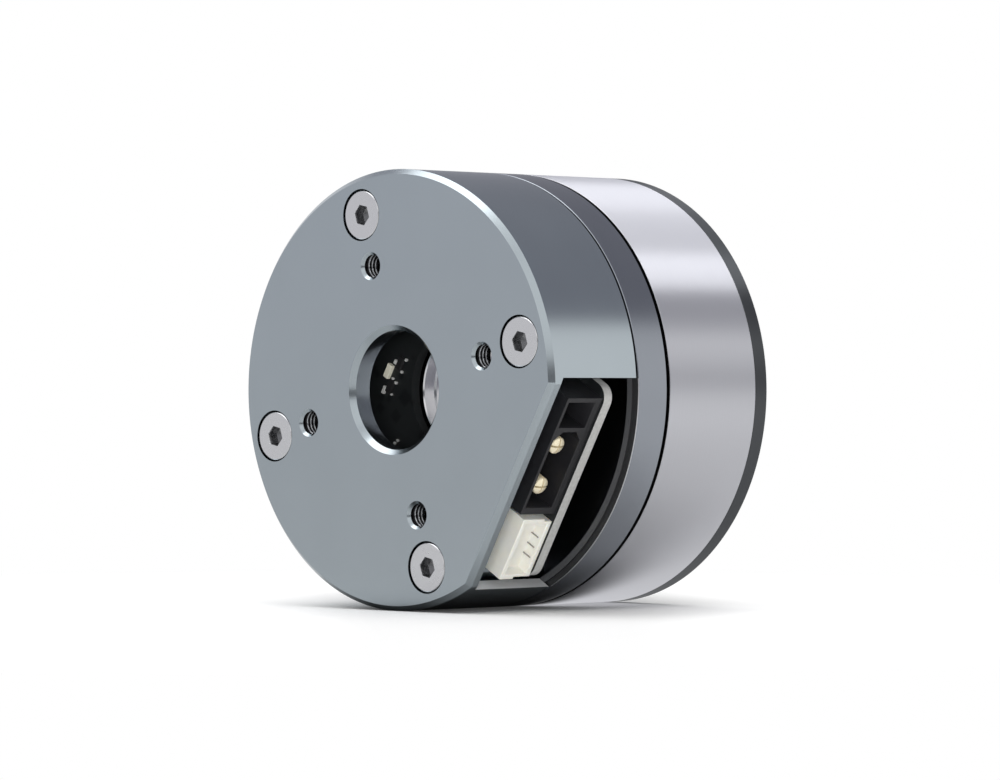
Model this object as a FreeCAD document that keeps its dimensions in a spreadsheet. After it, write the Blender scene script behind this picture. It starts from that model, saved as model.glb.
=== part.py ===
import FreeCAD, Part
import os
import re
import Sketcher

# A hollow-shaft gimbal motor with its driver board under the rear cover.
# The motor axis is Y. The mounting face is the plane y = 0 and looks along -Y, the rotor is at the far end.
# Every piece is drawn with the connector window on +X, and its Placement turns it to the resting pose.

SIZES = (
    ("pose_angle", 30, "turn about the axis that brings the window to its resting side, degrees"),
    ("case_radius", 24, "outside of the cover, the stator base and the rotor"),
    ("edge_break", 0.15, "small bevel on edges that show"),
    ("fit_gap", 0.01, "radial gap of pressed and glued round seats"),
    ("overcut", 1, "how far a cut runs past the outside"),
    # rear cover
    ("cover_length", 13, "mounting face to the seam"),
    ("cover_wall", 1.4, "side wall of the cover and of the stator base rim"),
    ("plate_thickness", 2.6, "front plate"),
    ("rim_chamfer", 0.55, "bevel round the mounting face and along the flat"),
    ("bore_radius", 6.5, "centre bore of the cover"),
    ("bore_chamfer", 0.55, "bevel of the centre bore"),
    ("flat_cut", 3.52, "depth of the flat over the connectors"),
    ("window_start", 1.75, "thickness of the plate's lip over the window"),
    ("window_gap", 0.8, "window beyond the ends of the board's straight edge"),
    ("lip_bevel", 0.35, "bevel of the flat towards the window"),
    # cover screws and mounting holes
    ("screw_inset", 4.2, "cover screws inwards of the outside"),
    ("screw_count", 4, "cover screws"),
    ("screw_grip", 2.8, "cover screws beyond the seam"),
    ("thread_radius", 1.5, "M3 thread"),
    ("thread_gap", 0.05, "thread to its tapped hole"),
    ("screw_clearance", 0.2, "shank to its hole in the cover"),
    ("head_radius", 2.65, "countersunk head"),
    ("head_recess", 0.1, "head below the mounting face"),
    ("sink_gap", 0.2, "countersink mouth beyond the head, at the mounting face"),
    ("hex_flats", 2.0, "hex socket across flats"),
    ("hex_depth", 1.3, "hex socket depth"),
    ("pillar_radius", 2.82, "screw pillars inside the cover and bosses of the stator base"),
    ("mount_circle", 28, "pitch circle of the mounting holes"),
    ("mount_count", 4, "mounting holes"),
    # driver board
    ("board_drop", 3.5, "front of the board to the seam"),
    ("board_thickness", 1.2, "board"),
    ("board_gap", 1.0, "board to the cover's wall"),
    ("board_hole", 7.0, "centre hole of the board"),
    ("board_inset", 0.35, "board edge behind the flat"),
    ("tab_low", -12.3, "lower end of the board's straight edge, along the flat"),
    ("tab_high", 11.45, "upper end of the board's straight edge, along the flat"),
    ("tab_corner", 1.7, "corners of the straight edge"),
    ("notch_gap", 0.4, "board to a screw pillar"),
    ("standoff_inset", 4.1, "board screws inwards of the board's edge"),
    ("standoff_radius", 2.0, "standoff under the board"),
    ("standoff_count", 3, "board screws"),
    ("board_screw", 1.0, "board screw shank radius"),
    ("board_head", 1.8, "board screw head radius"),
    ("board_head_height", 1.2, "board screw head"),
    ("board_grip", 3.0, "board screw below the board's back"),
    # power socket
    ("socket_inset", 0.58, "socket faces behind the flat"),
    ("socket_low", -3.9, "lower end of the power socket along the flat"),
    ("socket_high", 10.45, "upper end of the power socket along the flat"),
    ("socket_height", 5.4, "power socket above the board"),
    ("socket_depth", 8.6, "power socket inwards from its face"),
    ("socket_skin", 0.4, "socket wall away from the board"),
    ("socket_floor", 1.0, "socket wall on the board"),
    ("socket_end", 0.8, "end walls of the power socket"),
    ("socket_bar", 0.55, "bar between the power and the signal cavity"),
    ("signal_width", 3.1, "signal cavity along the flat"),
    ("cavity_depth", 6.5, "depth of both cavities"),
    ("cavity_corner", 1.0, "cut corners of the power cavity"),
    ("pin_pitch", 5.0, "distance of the power pins"),
    ("pin_radius", 1.0, "power pin"),
    ("pin_recess", 1.0, "power pin tips behind the socket face"),
    ("pin_slit", 0.25, "cross slits in the power pins"),
    ("pin_slit_depth", 2.5, "length of the cross slits"),
    ("tail_length", 1.4, "pin tails behind the sockets"),
    ("tail_radius", 0.7, "power pin legs down to the board"),
    ("signal_pitch", 1.6, "distance of the signal pins"),
    ("signal_pin", 0.6, "width of a signal pin"),
    ("signal_recess", 4.5, "signal pin tips behind the socket face"),
    # serial socket
    ("serial_low", -12.1, "lower end of the serial socket along the flat"),
    ("serial_high", -4.6, "upper end of the serial socket along the flat"),
    ("serial_height", 4.45, "serial socket above the board"),
    ("serial_depth", 3.7, "serial socket inwards from its face"),
    ("serial_wall", 0.6, "walls of the serial socket"),
    ("serial_cavity", 2.9, "depth of its cavity"),
    ("serial_step", 0.28, "steps at both ends of the serial socket, towards the board"),
    ("serial_foot", 2.4, "lower step above the board"),
    ("serial_head", 1.2, "upper step above the board"),
    ("contact_count", 3, "contacts"),
    ("contact_pitch", 1.25, "distance of the contacts"),
    ("contact_width", 0.32, "contact along the flat"),
    ("contact_height", 0.4, "contact above the board"),
    ("contact_lift", 0.85, "contact underside above the board"),
    ("contact_recess", 0.35, "contact tips behind the socket face"),
    # chips on the board
    ("bridge_width", 5.0, "power switch package"),
    ("bridge_height", 1.0, "power switch package"),
    ("bridge_pitch", 6.4, "distance of the power switches"),
    ("bridge_gap", 4.3, "row of the power switches to the lowest board screw"),
    ("controller_width", 7.0, "controller package"),
    ("controller_height", 0.9, "controller package"),
    ("controller_x", -5.6, "controller beside the axis"),
    ("controller_inset", 10.0, "controller inwards of the board's edge"),
    ("capacitor_length", 3.2, "ceramic capacitor"),
    ("capacitor_width", 1.6, "ceramic capacitor"),
    ("capacitor_height", 1.5, "ceramic capacitor"),
    ("capacitor_pitch", 2.4, "distance of the capacitors"),
    ("capacitor_gap", 0.7, "capacitor row to the power socket's pins"),
    ("capacitor_inset", 0.85, "first capacitor below the power socket's upper end"),
    ("sensor_width", 3.0, "angle sensor package"),
    ("sensor_height", 0.9, "angle sensor package"),
    ("sensor_inset", 1.1, "angle sensor inwards of the encoder magnet's edge"),
    # stator base
    ("base_length", 4.72, "seam to the back of the stator base"),
    ("base_web", 2.4, "web of the stator base"),
    ("tube_wall", 1.4, "bearing tube round the bearings"),
    ("tube_lip", 1.0, "shoulder between the bearings, inwards of their seats"),
    ("core_shoulder", 1.2, "collar that the core sits on, outwards of the tube"),
    ("core_lift", 2.0, "core behind the stator base"),
    ("lead_side", 6.4, "middle lead beside the line through the window"),
    ("lead_pitch", 1.3, "distance of the leads"),
    ("lead_radius", 0.45, "phase lead"),
    ("lead_gap", 0.45, "outer leads to the edge of their common hole"),
    # stator core and windings
    ("core_length", 8, "lamination stack"),
    ("air_gap", 0.4, "teeth to the magnets"),
    ("slot_count", 24, "slots"),
    ("yoke_share", 0.29, "share of the core's width that is the ring between the tube and the slots"),
    ("tooth_width", 1.9, "tooth"),
    ("tooth_shoe", 0.7, "thickness of the tooth tips"),
    ("tooth_taper", 0.35, "slope under the tooth tips"),
    ("slot_mouth", 0.8, "gap between tooth tips"),
    ("coil_gap", 0.05, "coil to the coated core"),
    ("coil_thickness", 0.9, "side of a coil"),
    ("coil_room", 0.3, "coil ends to the slot's bottom and to the tooth tips"),
    # bearings
    ("shaft_radius", 7.5, "hollow shaft, bearing bore"),
    ("bearing_radius", 12, "bearing outside"),
    ("bearing_width", 5, "bearing"),
    ("bearing_inset", 2.0, "front bearing in front of the stator base's back"),
    ("bearing_spacing", 8.4, "front bearing to the rear bearing"),
    ("ring_thickness", 1.1, "bearing rings at their shoulders"),
    ("ball_radius", 1.4, "bearing balls"),
    ("ball_count", 10, "balls in a bearing"),
    ("ball_gap", 0.03, "ball to its races"),
    ("race_width", 3.0, "groove that the balls run in"),
    ("cage_thickness", 0.9, "cage ring, radially"),
    ("cage_width", 0.8, "cage ring, along the axis"),
    ("cage_grip", 0.1, "cage ring over the balls"),
    # rotor
    ("rotor_gap", 0.55, "stator base to the flux ring"),
    ("rotor_length", 15.68, "flux ring and end plate"),
    ("flux_wall", 1.5, "flux ring"),
    ("end_rim", 1.9, "rim of the end plate"),
    ("end_web", 2.4, "web of the end plate"),
    ("end_bevel", 0.1, "bevel round the end plate"),
    ("spigot_length", 1.5, "end plate inside the flux ring"),
    ("spigot_wall", 1.6, "spigot ring"),
    ("hub_wall", 1.1, "hub round the shaft, level with the bearing's inner ring"),
    ("output_circle", 28, "pitch circle of the output holes"),
    ("output_count", 4, "output holes"),
    ("magnet_count", 28, "rotor magnets"),
    ("magnet_thickness", 1.4, "rotor magnets"),
    ("magnet_length", 9.5, "rotor magnets"),
    ("magnet_cover", 0.89, "share of the circle that the magnets cover"),
    ("shaft_bore", 6.4, "through bore"),
    ("shaft_gap", 0.3, "shaft's front end behind the board"),
    ("mouth_step", 0.2, "counterbore at the shaft's front end, outwards of the bore"),
    ("mouth_depth", 1.8, "counterbore"),
    ("clip_thickness", 0.8, "retaining ring"),
    ("clip_groove", 0.4, "groove of the retaining ring"),
    ("clip_radius", 9.0, "retaining ring outside"),
    ("clip_angle", 325, "degrees that the retaining ring covers"),
    ("washer_height", 0.6, "preload washer"),
    ("washer_sheet", 0.3, "its sheet"),
    ("encoder_gap", 1.5, "encoder magnet behind the board"),
    ("encoder_length", 1.8, "encoder magnet"),
    ("encoder_radius", 10.3, "encoder magnet outside"),
)

doc = FreeCAD.newDocument("gimbal_motor")
sheet = doc.addObject("Spreadsheet::Sheet", "Sizes")
for row, (alias, value, note) in enumerate(SIZES, start=1):
    sheet.set(f"A{row}", note)
    sheet.set(f"B{row}", str(value))
    sheet.setAlias(f"B{row}", alias)
doc.recompute()

ALIASES = {alias for alias, value, note in SIZES}
SUBPARTS = []

# Places and sizes worked out from the sheet. Their names are words of the expressions, as the aliases are.
PLACES = {
    "flat_offset": "case_radius - flat_cut",
    "window_half": "window_gap - tab_low",
    "screw_x": "(case_radius - screw_inset) * cos(45)",
    "screw_tip": "cover_length + screw_grip",
    "mount_x": "mount_circle / 2 * cos(45)",
    "output_x": "output_circle / 2 * cos(45)",
    "board_front": "cover_length - board_drop",
    "board_back": "board_front + board_thickness",
    "board_radius": "case_radius - cover_wall - board_gap",
    "standoff_z": "standoff_inset - board_radius",
    "socket_face": "flat_offset - socket_inset",
    "socket_back": "socket_face - socket_depth",
    "cavity_low": "socket_low + socket_end",
    "signal_high": "socket_high - socket_bar",
    "signal_low": "signal_high - signal_width",
    "cavity_high": "signal_low - socket_bar",
    "pin_middle": "(cavity_low + cavity_high) / 2",
    "signal_middle": "(signal_low + signal_high) / 2",
    "pin_y": "board_front - (socket_height + socket_floor - socket_skin) / 2",
    "serial_back": "socket_face - serial_depth",
    "serial_middle": "(serial_low + serial_high) / 2",
    "bridge_z": "standoff_z + bridge_gap",
    "controller_z": "board_radius - controller_inset",
    "capacitor_x": "socket_back - tail_length - capacitor_gap - capacitor_length / 2",
    "capacitor_z": "socket_high - capacitor_inset",
    "sensor_reach": "encoder_radius - sensor_inset",
    "base_end": "cover_length + base_length",
    "web_front": "base_end - base_web",
    "tube_radius": "bearing_radius + tube_wall",
    "front_bearing": "base_end - bearing_inset",
    "rear_bearing": "front_bearing + bearing_spacing",
    "pitch_radius": "(shaft_radius + bearing_radius) / 2",
    "rotor_start": "base_end + rotor_gap",
    "rotor_end": "rotor_start + rotor_length",
    "rim_start": "rotor_end - end_rim",
    "flux_bore": "case_radius - flux_wall",
    "magnet_width": "2 * pi * (flux_bore - magnet_thickness) * magnet_cover / magnet_count",
    "magnet_back": "sqrt((flux_bore - fit_gap)^2 - magnet_width^2 / 4)",
    "core_start": "base_end + core_lift",
    "core_end": "core_start + core_length",
    "core_radius": "magnet_back - magnet_thickness - air_gap",
    "tooth_neck": "core_radius - tooth_shoe - tooth_taper",
    "slot_root": "tube_radius + yoke_share * (core_radius - tube_radius)",
    "coil_root": "slot_root + coil_room",
    "coil_tip": "tooth_neck - coil_room",
    "lead_reach": "(coil_root + coil_tip) / 2",
    "shaft_start": "board_back + shaft_gap",
    "clip_start": "front_bearing - washer_height - clip_thickness",
    "encoder_start": "board_back + encoder_gap",
}


def bound(text):
    """An expression over the sheet: a place is written out, and each alias is read from the sheet."""
    def written_out(word):
        if word[0] in PLACES:
            return f"({bound(PLACES[word[0]])})"
        return f"Sizes.{word[0]}" if word[0] in ALIASES else word[0]
    return re.sub(r"[a-z_]+", written_out, text)


def size(text):
    """The number that an expression over the sheet gives."""
    return float(sheet.evalExpression(bound(text)))


def new_body(label):
    """An empty body for one sub-part, turned about the motor axis to the resting pose."""
    body = doc.addObject("PartDesign::Body", label)
    body.Label = label
    body.AllowCompound = True
    motor_axis = FreeCAD.Vector(0, 1, 0)
    body.Placement = FreeCAD.Placement(FreeCAD.Vector(), FreeCAD.Rotation(motor_axis, size("pose_angle")))
    body.setExpression("Placement.Rotation.Angle", bound("pose_angle"))
    SUBPARTS.append(body)
    return body


def origin_feature(body, role):
    """One of the body's own origin planes or axes."""
    return next(feature for feature in body.Origin.OriginFeatures if feature.Role == role)


def sketch_on(body, role, base=("0", "0", "0")):
    """An empty sketch on one of the body's origin planes, moved by base along the plane's own axes."""
    sketch = body.newObject("Sketcher::SketchObject", f"{body.Name}_sketch")
    sketch.AttachmentSupport = [(origin_feature(body, role), "")]
    sketch.MapMode = "FlatFace"
    for axis, text in zip("xyz", base):
        sketch.setExpression(f"AttachmentOffset.Base.{axis}", bound(text))
    return sketch


def pin_down(sketch, geometry, point, x, y):
    """Fixes one point of a sketch at two expressions over the sheet."""
    for kind, text in (("DistanceX", x), ("DistanceY", y)):
        index = sketch.addConstraint(Sketcher.Constraint(kind, -1, 1, geometry, point, size(text)))
        sketch.setExpression(f"Constraints[{index}]", bound(text))


def outline(sketch, points):
    """A closed run of straight lines through points."""
    corners = [FreeCAD.Vector(size(x), size(y), 0) for x, y in points]
    first = sketch.GeometryCount
    count = len(points)
    for index, corner in enumerate(corners):
        sketch.addGeometry(Part.LineSegment(corner, corners[(index + 1) % count]))
    for index, (x, y) in enumerate(points):
        following = first + (index + 1) % count
        sketch.addConstraint(Sketcher.Constraint("Coincident", first + index, 2, following, 1))
        pin_down(sketch, first + index, 1, x, y)


def rectangle(sketch, low_x, high_x, low_y, high_y):
    """A rectangle along the sketch's axes."""
    outline(sketch, ((low_x, low_y), (high_x, low_y), (high_x, high_y), (low_x, high_y)))


def circle(sketch, x, y, radius):
    """A full circle."""
    centre = FreeCAD.Vector(size(x), size(y), 0)
    index = sketch.addGeometry(Part.Circle(centre, FreeCAD.Vector(0, 0, 1), size(radius)))
    pin_down(sketch, index, 3, x, y)
    radial = sketch.addConstraint(Sketcher.Constraint("Radius", index, size(radius)))
    sketch.setExpression(f"Constraints[{radial}]", bound(radius))


def feature_of(body, kind, sketch):
    """A new feature on a sketch, and the tip of its body."""
    feature = body.newObject(f"PartDesign::{kind}", f"{body.Name}_{kind.lower()}")
    feature.Profile = sketch
    body.Tip = feature
    return feature


def grow(body, kind, sketch, length, backwards=False, middle=False):
    """A Pad or a Pocket of a given length, on the sketch's other side if backwards, or to both sides."""
    feature = feature_of(body, kind, sketch)
    feature.setExpression("Length", bound(length))
    feature.Reversed = backwards
    feature.Midplane = middle
    return feature


def turn(body, kind, points, centre=("0", "0"), arc="360"):
    """A Revolution or a Groove of a (radius, y) outline about an axis along Y through centre (x, z)."""
    sketch = sketch_on(body, "XY_Plane", (centre[0], "0", centre[1]))
    outline(sketch, points)
    return spin(body, kind, sketch, arc)


def spin(body, kind, sketch, arc="360"):
    """Turns a finished sketch about its own vertical axis."""
    feature = feature_of(body, kind, sketch)
    feature.ReferenceAxis = (sketch, ["V_Axis"])
    feature.setExpression("Angle", bound(arc))
    feature.Midplane = True
    return feature


def around(body, originals, count, arc="360"):
    """Copies features round the motor axis."""
    pattern = body.newObject("PartDesign::PolarPattern", f"{body.Name}_pattern")
    pattern.Originals = originals
    pattern.Axis = (origin_feature(body, "Y_Axis"), [""])
    pattern.setExpression("Angle", bound(arc))
    pattern.setExpression("Occurrences", bound(count))
    body.Tip = pattern
    return pattern


def front_pad(body, start, length):
    """A sketch in the front view at y = start, and a function that pads it away from the mounting face."""
    sketch = sketch_on(body, "XZ_Plane", ("0", "0", f"-({start})"))
    return sketch, lambda: grow(body, "Pad", sketch, length, backwards=True)


def box(body, low_x, high_x, low_z, high_z, start, length):
    """A block given by its front-view rectangle, its front and its length along the axis."""
    sketch, pad = front_pad(body, start, length)
    rectangle(sketch, low_x, high_x, low_z, high_z)
    return pad()


def bored(body, centres, radius, start, length):
    """Round holes from y = start, away from the mounting face."""
    sketch = sketch_on(body, "XZ_Plane", ("0", "0", f"-({start})"))
    for x, z in centres:
        circle(sketch, x, z, radius)
    return grow(body, "Pocket", sketch, length)


def make_rear_cover():
    """A turned cup with screw pillars inside, cut flat over the connectors and open behind that flat.

    The flat keeps the bevel of the mounting face along its front, and has a small one towards the window.
    """
    body = new_body("rear_cover")
    turn(body, "Revolution", (
        ("bore_radius + bore_chamfer", "0"),
        ("case_radius - rim_chamfer", "0"),
        ("case_radius", "rim_chamfer"),
        ("case_radius", "cover_length"),
        ("case_radius - cover_wall", "cover_length"),
        ("case_radius - cover_wall", "plate_thickness"),
        ("bore_radius", "plate_thickness"),
        ("bore_radius", "bore_chamfer"),
    ))
    sketch, pad = front_pad(body, "plate_thickness / 2", "cover_length - plate_thickness / 2")
    circle(sketch, "screw_x", "screw_x", "pillar_radius")
    around(body, [pad()], "screw_count")
    sink = "(head_radius + sink_gap)"
    shank = "(thread_radius + screw_clearance)"
    screw_hole = turn(body, "Groove", (
        ("0", "0"),
        (sink, "0"),
        (shank, f"{sink} - {shank}"),
        (shank, "cover_length"),
        ("0", "cover_length"),
    ), ("screw_x", "screw_x"))
    around(body, [screw_hole], "screw_count")
    mount_hole = bored(body, [("mount_x", "mount_x")], "thread_radius", "0", "plate_thickness")
    around(body, [mount_hole], "mount_count")
    flat = sketch_on(body, "XY_Plane")
    outline(flat, (
        ("flat_offset - rim_chamfer", "0"),
        ("flat_offset", "rim_chamfer"),
        ("flat_offset", "window_start - lip_bevel"),
        ("flat_offset - lip_bevel", "window_start"),
        ("case_radius + overcut", "window_start"),
        ("case_radius + overcut", "0"),
    ))
    grow(body, "Pocket", flat, "2 * case_radius", middle=True)
    window = sketch_on(body, "XZ_Plane", ("0", "0", "-window_start"))
    inner = "screw_x + pillar_radius + edge_break"
    rectangle(window, inner, "case_radius + overcut", "-window_half", "window_half")
    grow(body, "Pocket", window, "cover_length - window_start")


def make_cover_screws():
    """Countersunk hex-socket screws, one in each pillar."""
    body = new_body("cover_screws")
    shank = turn(body, "Revolution", (
        ("0", "head_recess"),
        ("head_radius", "head_recess"),
        ("thread_radius", "head_recess + head_radius - thread_radius"),
        ("thread_radius", "screw_tip"),
        ("0", "screw_tip"),
    ), ("screw_x", "screw_x"))
    socket = sketch_on(body, "XZ_Plane", ("screw_x", "screw_x", "-head_recess"))
    outline(socket, [
        (f"hex_flats / sqrt(3) * cos({angle})", f"hex_flats / sqrt(3) * sin({angle})")
        for angle in range(0, 360, 60)
    ])
    hex_socket = grow(body, "Pocket", socket, "hex_depth")
    around(body, [shank, hex_socket], "screw_count")


def make_driver_board():
    """A round board with one straight edge at the flat, notched round the screw pillars."""
    body = new_body("driver_board")
    edge = "(flat_offset - board_inset)"
    tab = box(body, "board_hole", edge, "tab_low", "tab_high", "board_front", "board_thickness")
    doc.recompute()
    ends = (size("tab_low"), size("tab_high"))
    corners = [
        f"Edge{number}" for number, line in enumerate(tab.Shape.Edges, start=1)
        if line.CenterOfMass.x > size(edge) - 1e-6 and min(abs(line.CenterOfMass.z - end) for end in ends) < 1e-6
    ]
    fillet = body.newObject("PartDesign::Fillet", "driver_board_fillet")
    fillet.Base = (tab, corners)
    fillet.setExpression("Radius", bound("tab_corner"))
    body.Tip = fillet
    sketch, pad = front_pad(body, "board_front", "board_thickness")
    circle(sketch, "0", "0", "board_radius")
    pad()
    edge_cut = sketch_on(body, "XZ_Plane", ("0", "0", "-board_front"))
    rectangle(edge_cut, edge, "case_radius", "-case_radius", "case_radius")
    grow(body, "Pocket", edge_cut, "board_thickness")
    bored(body, [("0", "0")], "board_hole", "board_front", "board_thickness")
    notch = bored(body, [("screw_x", "screw_x")], "pillar_radius + notch_gap", "board_front", "board_thickness")
    around(body, [notch], "screw_count")
    hole = bored(body, [("0", "standoff_z")], "board_screw + thread_gap", "board_front", "board_thickness")
    around(body, [hole], "standoff_count", "180")


def make_board_screws():
    """Pan-head screws through the board into the standoffs."""
    body = new_body("board_screws")
    head = turn(body, "Revolution", (
        ("0", "board_front - board_head_height"),
        ("board_head", "board_front - board_head_height"),
        ("board_head", "board_front"),
        ("board_screw", "board_front"),
        ("board_screw", "board_back + board_grip"),
        ("0", "board_back + board_grip"),
    ), ("0", "standoff_z"))
    around(body, [head], "standoff_count", "180")


def make_power_connector():
    """The black socket: a D-shaped power cavity and a square signal cavity, both open at the flat."""
    body = new_body("power_connector")
    top = "(board_front - socket_height)"
    box(body, "socket_back", "socket_face", "socket_low", "socket_high", top, "socket_height")
    near = f"({top} + socket_skin)"
    far = "(board_front - socket_floor)"
    cavities = sketch_on(body, "YZ_Plane", ("0", "0", "socket_face"))
    outline(cavities, (
        (near, "cavity_low"),
        (far, "cavity_low"),
        (far, "cavity_high - cavity_corner"),
        (f"{far} - cavity_corner", "cavity_high"),
        (f"{near} + cavity_corner", "cavity_high"),
        (near, "cavity_high - cavity_corner"),
    ))
    rectangle(cavities, near, far, "signal_low", "signal_high")
    grow(body, "Pocket", cavities, "cavity_depth")
    holes = sketch_on(body, "YZ_Plane", ("0", "0", "socket_face"))
    for side in ("+", "-"):
        circle(holes, "pin_y", f"pin_middle {side} pin_pitch / 2", "pin_radius + fit_gap")
        middle = f"(signal_middle {side} signal_pitch / 2)"
        half = "(signal_pin / 2 + fit_gap)"
        rectangle(holes, f"pin_y - {half}", f"pin_y + {half}",
                  f"{middle} - {half}", f"{middle} + {half}")
    grow(body, "Pocket", holes, "socket_depth")


def make_power_pins():
    """Round pins with cross slits at their tips and a leg down to the board."""
    body = new_body("power_pins")
    tip = "(socket_face - pin_recess)"
    end = "(socket_back - tail_length)"
    rods = sketch_on(body, "YZ_Plane", ("0", "0", tip))
    for side in ("+", "-"):
        circle(rods, "pin_y", f"pin_middle {side} pin_pitch / 2", "pin_radius")
    grow(body, "Pad", rods, f"{tip} - {end}", backwards=True)
    sketch, pad = front_pad(body, "pin_y", "board_front - pin_y")
    for side in ("+", "-"):
        circle(sketch, f"{end} + tail_radius", f"pin_middle {side} pin_pitch / 2", "tail_radius")
    pad()
    for across, along in (("pin_radius", "pin_slit / 2"), ("pin_slit / 2", "pin_radius")):
        slits = sketch_on(body, "YZ_Plane", ("0", "0", tip))
        for side in ("+", "-"):
            middle = f"(pin_middle {side} pin_pitch / 2)"
            rectangle(slits, f"pin_y - {across} - fit_gap", f"pin_y + {across} + fit_gap",
                      f"{middle} - {along} - fit_gap", f"{middle} + {along} + fit_gap")
        grow(body, "Pocket", slits, "pin_slit_depth")


def make_signal_pins():
    """Two square pins, bent down to the board behind the socket."""
    body = new_body("signal_pins")
    tip = "(socket_face - signal_recess)"
    end = "(socket_back - tail_length)"
    for side in ("+", "-"):
        middle = f"(signal_middle {side} signal_pitch / 2)"
        low = f"{middle} - signal_pin / 2"
        high = f"{middle} + signal_pin / 2"
        box(body, end, tip, low, high, "pin_y - signal_pin / 2", "signal_pin")
        box(body, end, f"{end} + signal_pin", low, high, "pin_y", "board_front - pin_y")


def make_serial_connector():
    """The white socket: a box, stepped at both ends and open at the flat, with slots for the contacts."""
    body = new_body("serial_connector")
    top = "(board_front - serial_height)"
    face = sketch_on(body, "YZ_Plane", ("0", "0", "socket_face"))
    outline(face, (
        (top, "serial_low"),
        ("board_front - serial_foot", "serial_low"),
        ("board_front - serial_foot", "serial_low + serial_step"),
        ("board_front", "serial_low + serial_step"),
        ("board_front", "serial_high - serial_step"),
        ("board_front - serial_head", "serial_high - serial_step"),
        ("board_front - serial_head", "serial_high"),
        (top, "serial_high"),
    ))
    grow(body, "Pad", face, "serial_depth", backwards=True)
    cavity = sketch_on(body, "YZ_Plane", ("0", "0", "socket_face"))
    rectangle(cavity, f"{top} + serial_wall", "board_front - serial_wall",
              "serial_low + serial_wall", "serial_high - serial_wall")
    grow(body, "Pocket", cavity, "serial_cavity")
    slots = sketch_on(body, "YZ_Plane", ("0", "0", "socket_face"))
    contact_row(slots, "fit_gap")
    grow(body, "Pocket", slots, "serial_depth")


def contact_row(sketch, gap):
    """The contacts' sections side by side, each larger all round by a gap."""
    middle_row = (size("contact_count") - 1) / 2
    low = f"board_front - contact_lift - contact_height - {gap}"
    high = f"board_front - contact_lift + {gap}"
    for number in range(int(size("contact_count"))):
        middle = f"(serial_middle + {number - middle_row} * contact_pitch)"
        rectangle(sketch, low, high,
                  f"{middle} - contact_width / 2 - {gap}", f"{middle} + contact_width / 2 + {gap}")


def make_serial_contacts():
    """Flat contacts through the back wall, each with a foot on the board."""
    body = new_body("serial_contacts")
    tip = "(socket_face - contact_recess)"
    end = "(serial_back - tail_length)"
    blades = sketch_on(body, "YZ_Plane", ("0", "0", tip))
    contact_row(blades, "0")
    grow(body, "Pad", blades, f"{tip} - {end}", backwards=True)
    middle_row = (size("contact_count") - 1) / 2
    blade_front = "board_front - contact_lift - contact_height"
    sketch, pad = front_pad(body, blade_front, "contact_lift + contact_height")
    for number in range(int(size("contact_count"))):
        middle = f"(serial_middle + {number - middle_row} * contact_pitch)"
        rectangle(sketch, end, f"{end} + contact_height",
                  f"{middle} - contact_width / 2", f"{middle} + contact_width / 2")
    pad()


def make_board_chips():
    """Flat packages and capacitors on the board, and the angle sensor on its back."""
    bridge = new_body("bridge_chips")
    half = "bridge_width / 2"
    for step in (-1, 0, 1):
        middle = f"({step} * bridge_pitch)"
        box(bridge, f"{middle} - {half}", f"{middle} + {half}",
            f"bridge_z - {half}", f"bridge_z + {half}",
            "board_front - bridge_height", "bridge_height")
    controller = new_body("controller_chip")
    half = "controller_width / 2"
    box(controller, f"controller_x - {half}", f"controller_x + {half}",
        f"controller_z - {half}", f"controller_z + {half}",
        "board_front - controller_height", "controller_height")
    capacitors = new_body("board_capacitors")
    for step in range(4):
        middle = f"(capacitor_z - {step} * capacitor_pitch)"
        box(capacitors, "capacitor_x - capacitor_length / 2", "capacitor_x + capacitor_length / 2",
            f"{middle} - capacitor_width / 2", f"{middle} + capacitor_width / 2",
            "board_front - capacitor_height", "capacitor_height")
    sensor = new_body("angle_sensor")
    half = "sensor_width / 2"
    box(sensor, f"-sensor_reach - {half}", f"-sensor_reach + {half}", f"-{half}", half,
        "board_back", "sensor_height")


def make_stator_base():
    """The ring behind the cover: a shallow cup with a bearing tube, screw bosses and standoffs on its web."""
    body = new_body("stator_base")
    seat = "bearing_radius + fit_gap"
    lip = "bearing_radius - tube_lip"
    inner_start = "front_bearing + bearing_width"
    tube_end = "rear_bearing + bearing_width"
    turn(body, "Revolution", (
        ("case_radius - edge_break", "cover_length"),
        ("case_radius", "cover_length + edge_break"),
        ("case_radius", "base_end"),
        ("tube_radius + core_shoulder", "base_end"),
        ("tube_radius + core_shoulder", "core_start"),
        ("tube_radius", "core_start"),
        ("tube_radius", tube_end),
        (seat, tube_end),
        (seat, "rear_bearing"),
        (lip, "rear_bearing"),
        (lip, inner_start),
        (seat, inner_start),
        (seat, "web_front"),
        ("case_radius - cover_wall", "web_front"),
        ("case_radius - cover_wall", "cover_length"),
    ))
    sketch, pad = front_pad(body, "cover_length", "web_front - cover_length + base_web / 2")
    circle(sketch, "screw_x", "screw_x", "pillar_radius")
    around(body, [pad()], "screw_count")
    sketch, pad = front_pad(body, "board_back", "web_front - board_back + base_web / 2")
    circle(sketch, "0", "standoff_z", "standoff_radius")
    around(body, [pad()], "standoff_count", "180")
    screw_hole = bored(body, [("screw_x", "screw_x")], "thread_radius + thread_gap",
                       "cover_length", "base_length")
    around(body, [screw_hole], "screw_count")
    standoff_hole = bored(body, [("0", "standoff_z")], "board_screw + thread_gap",
                          "board_back", "board_grip + thread_gap")
    around(body, [standoff_hole], "standoff_count", "180")
    lead_hole = "lead_pitch + lead_radius + lead_gap"
    bored(body, [("-lead_reach", "lead_side")], lead_hole, "web_front", "base_web")


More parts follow.
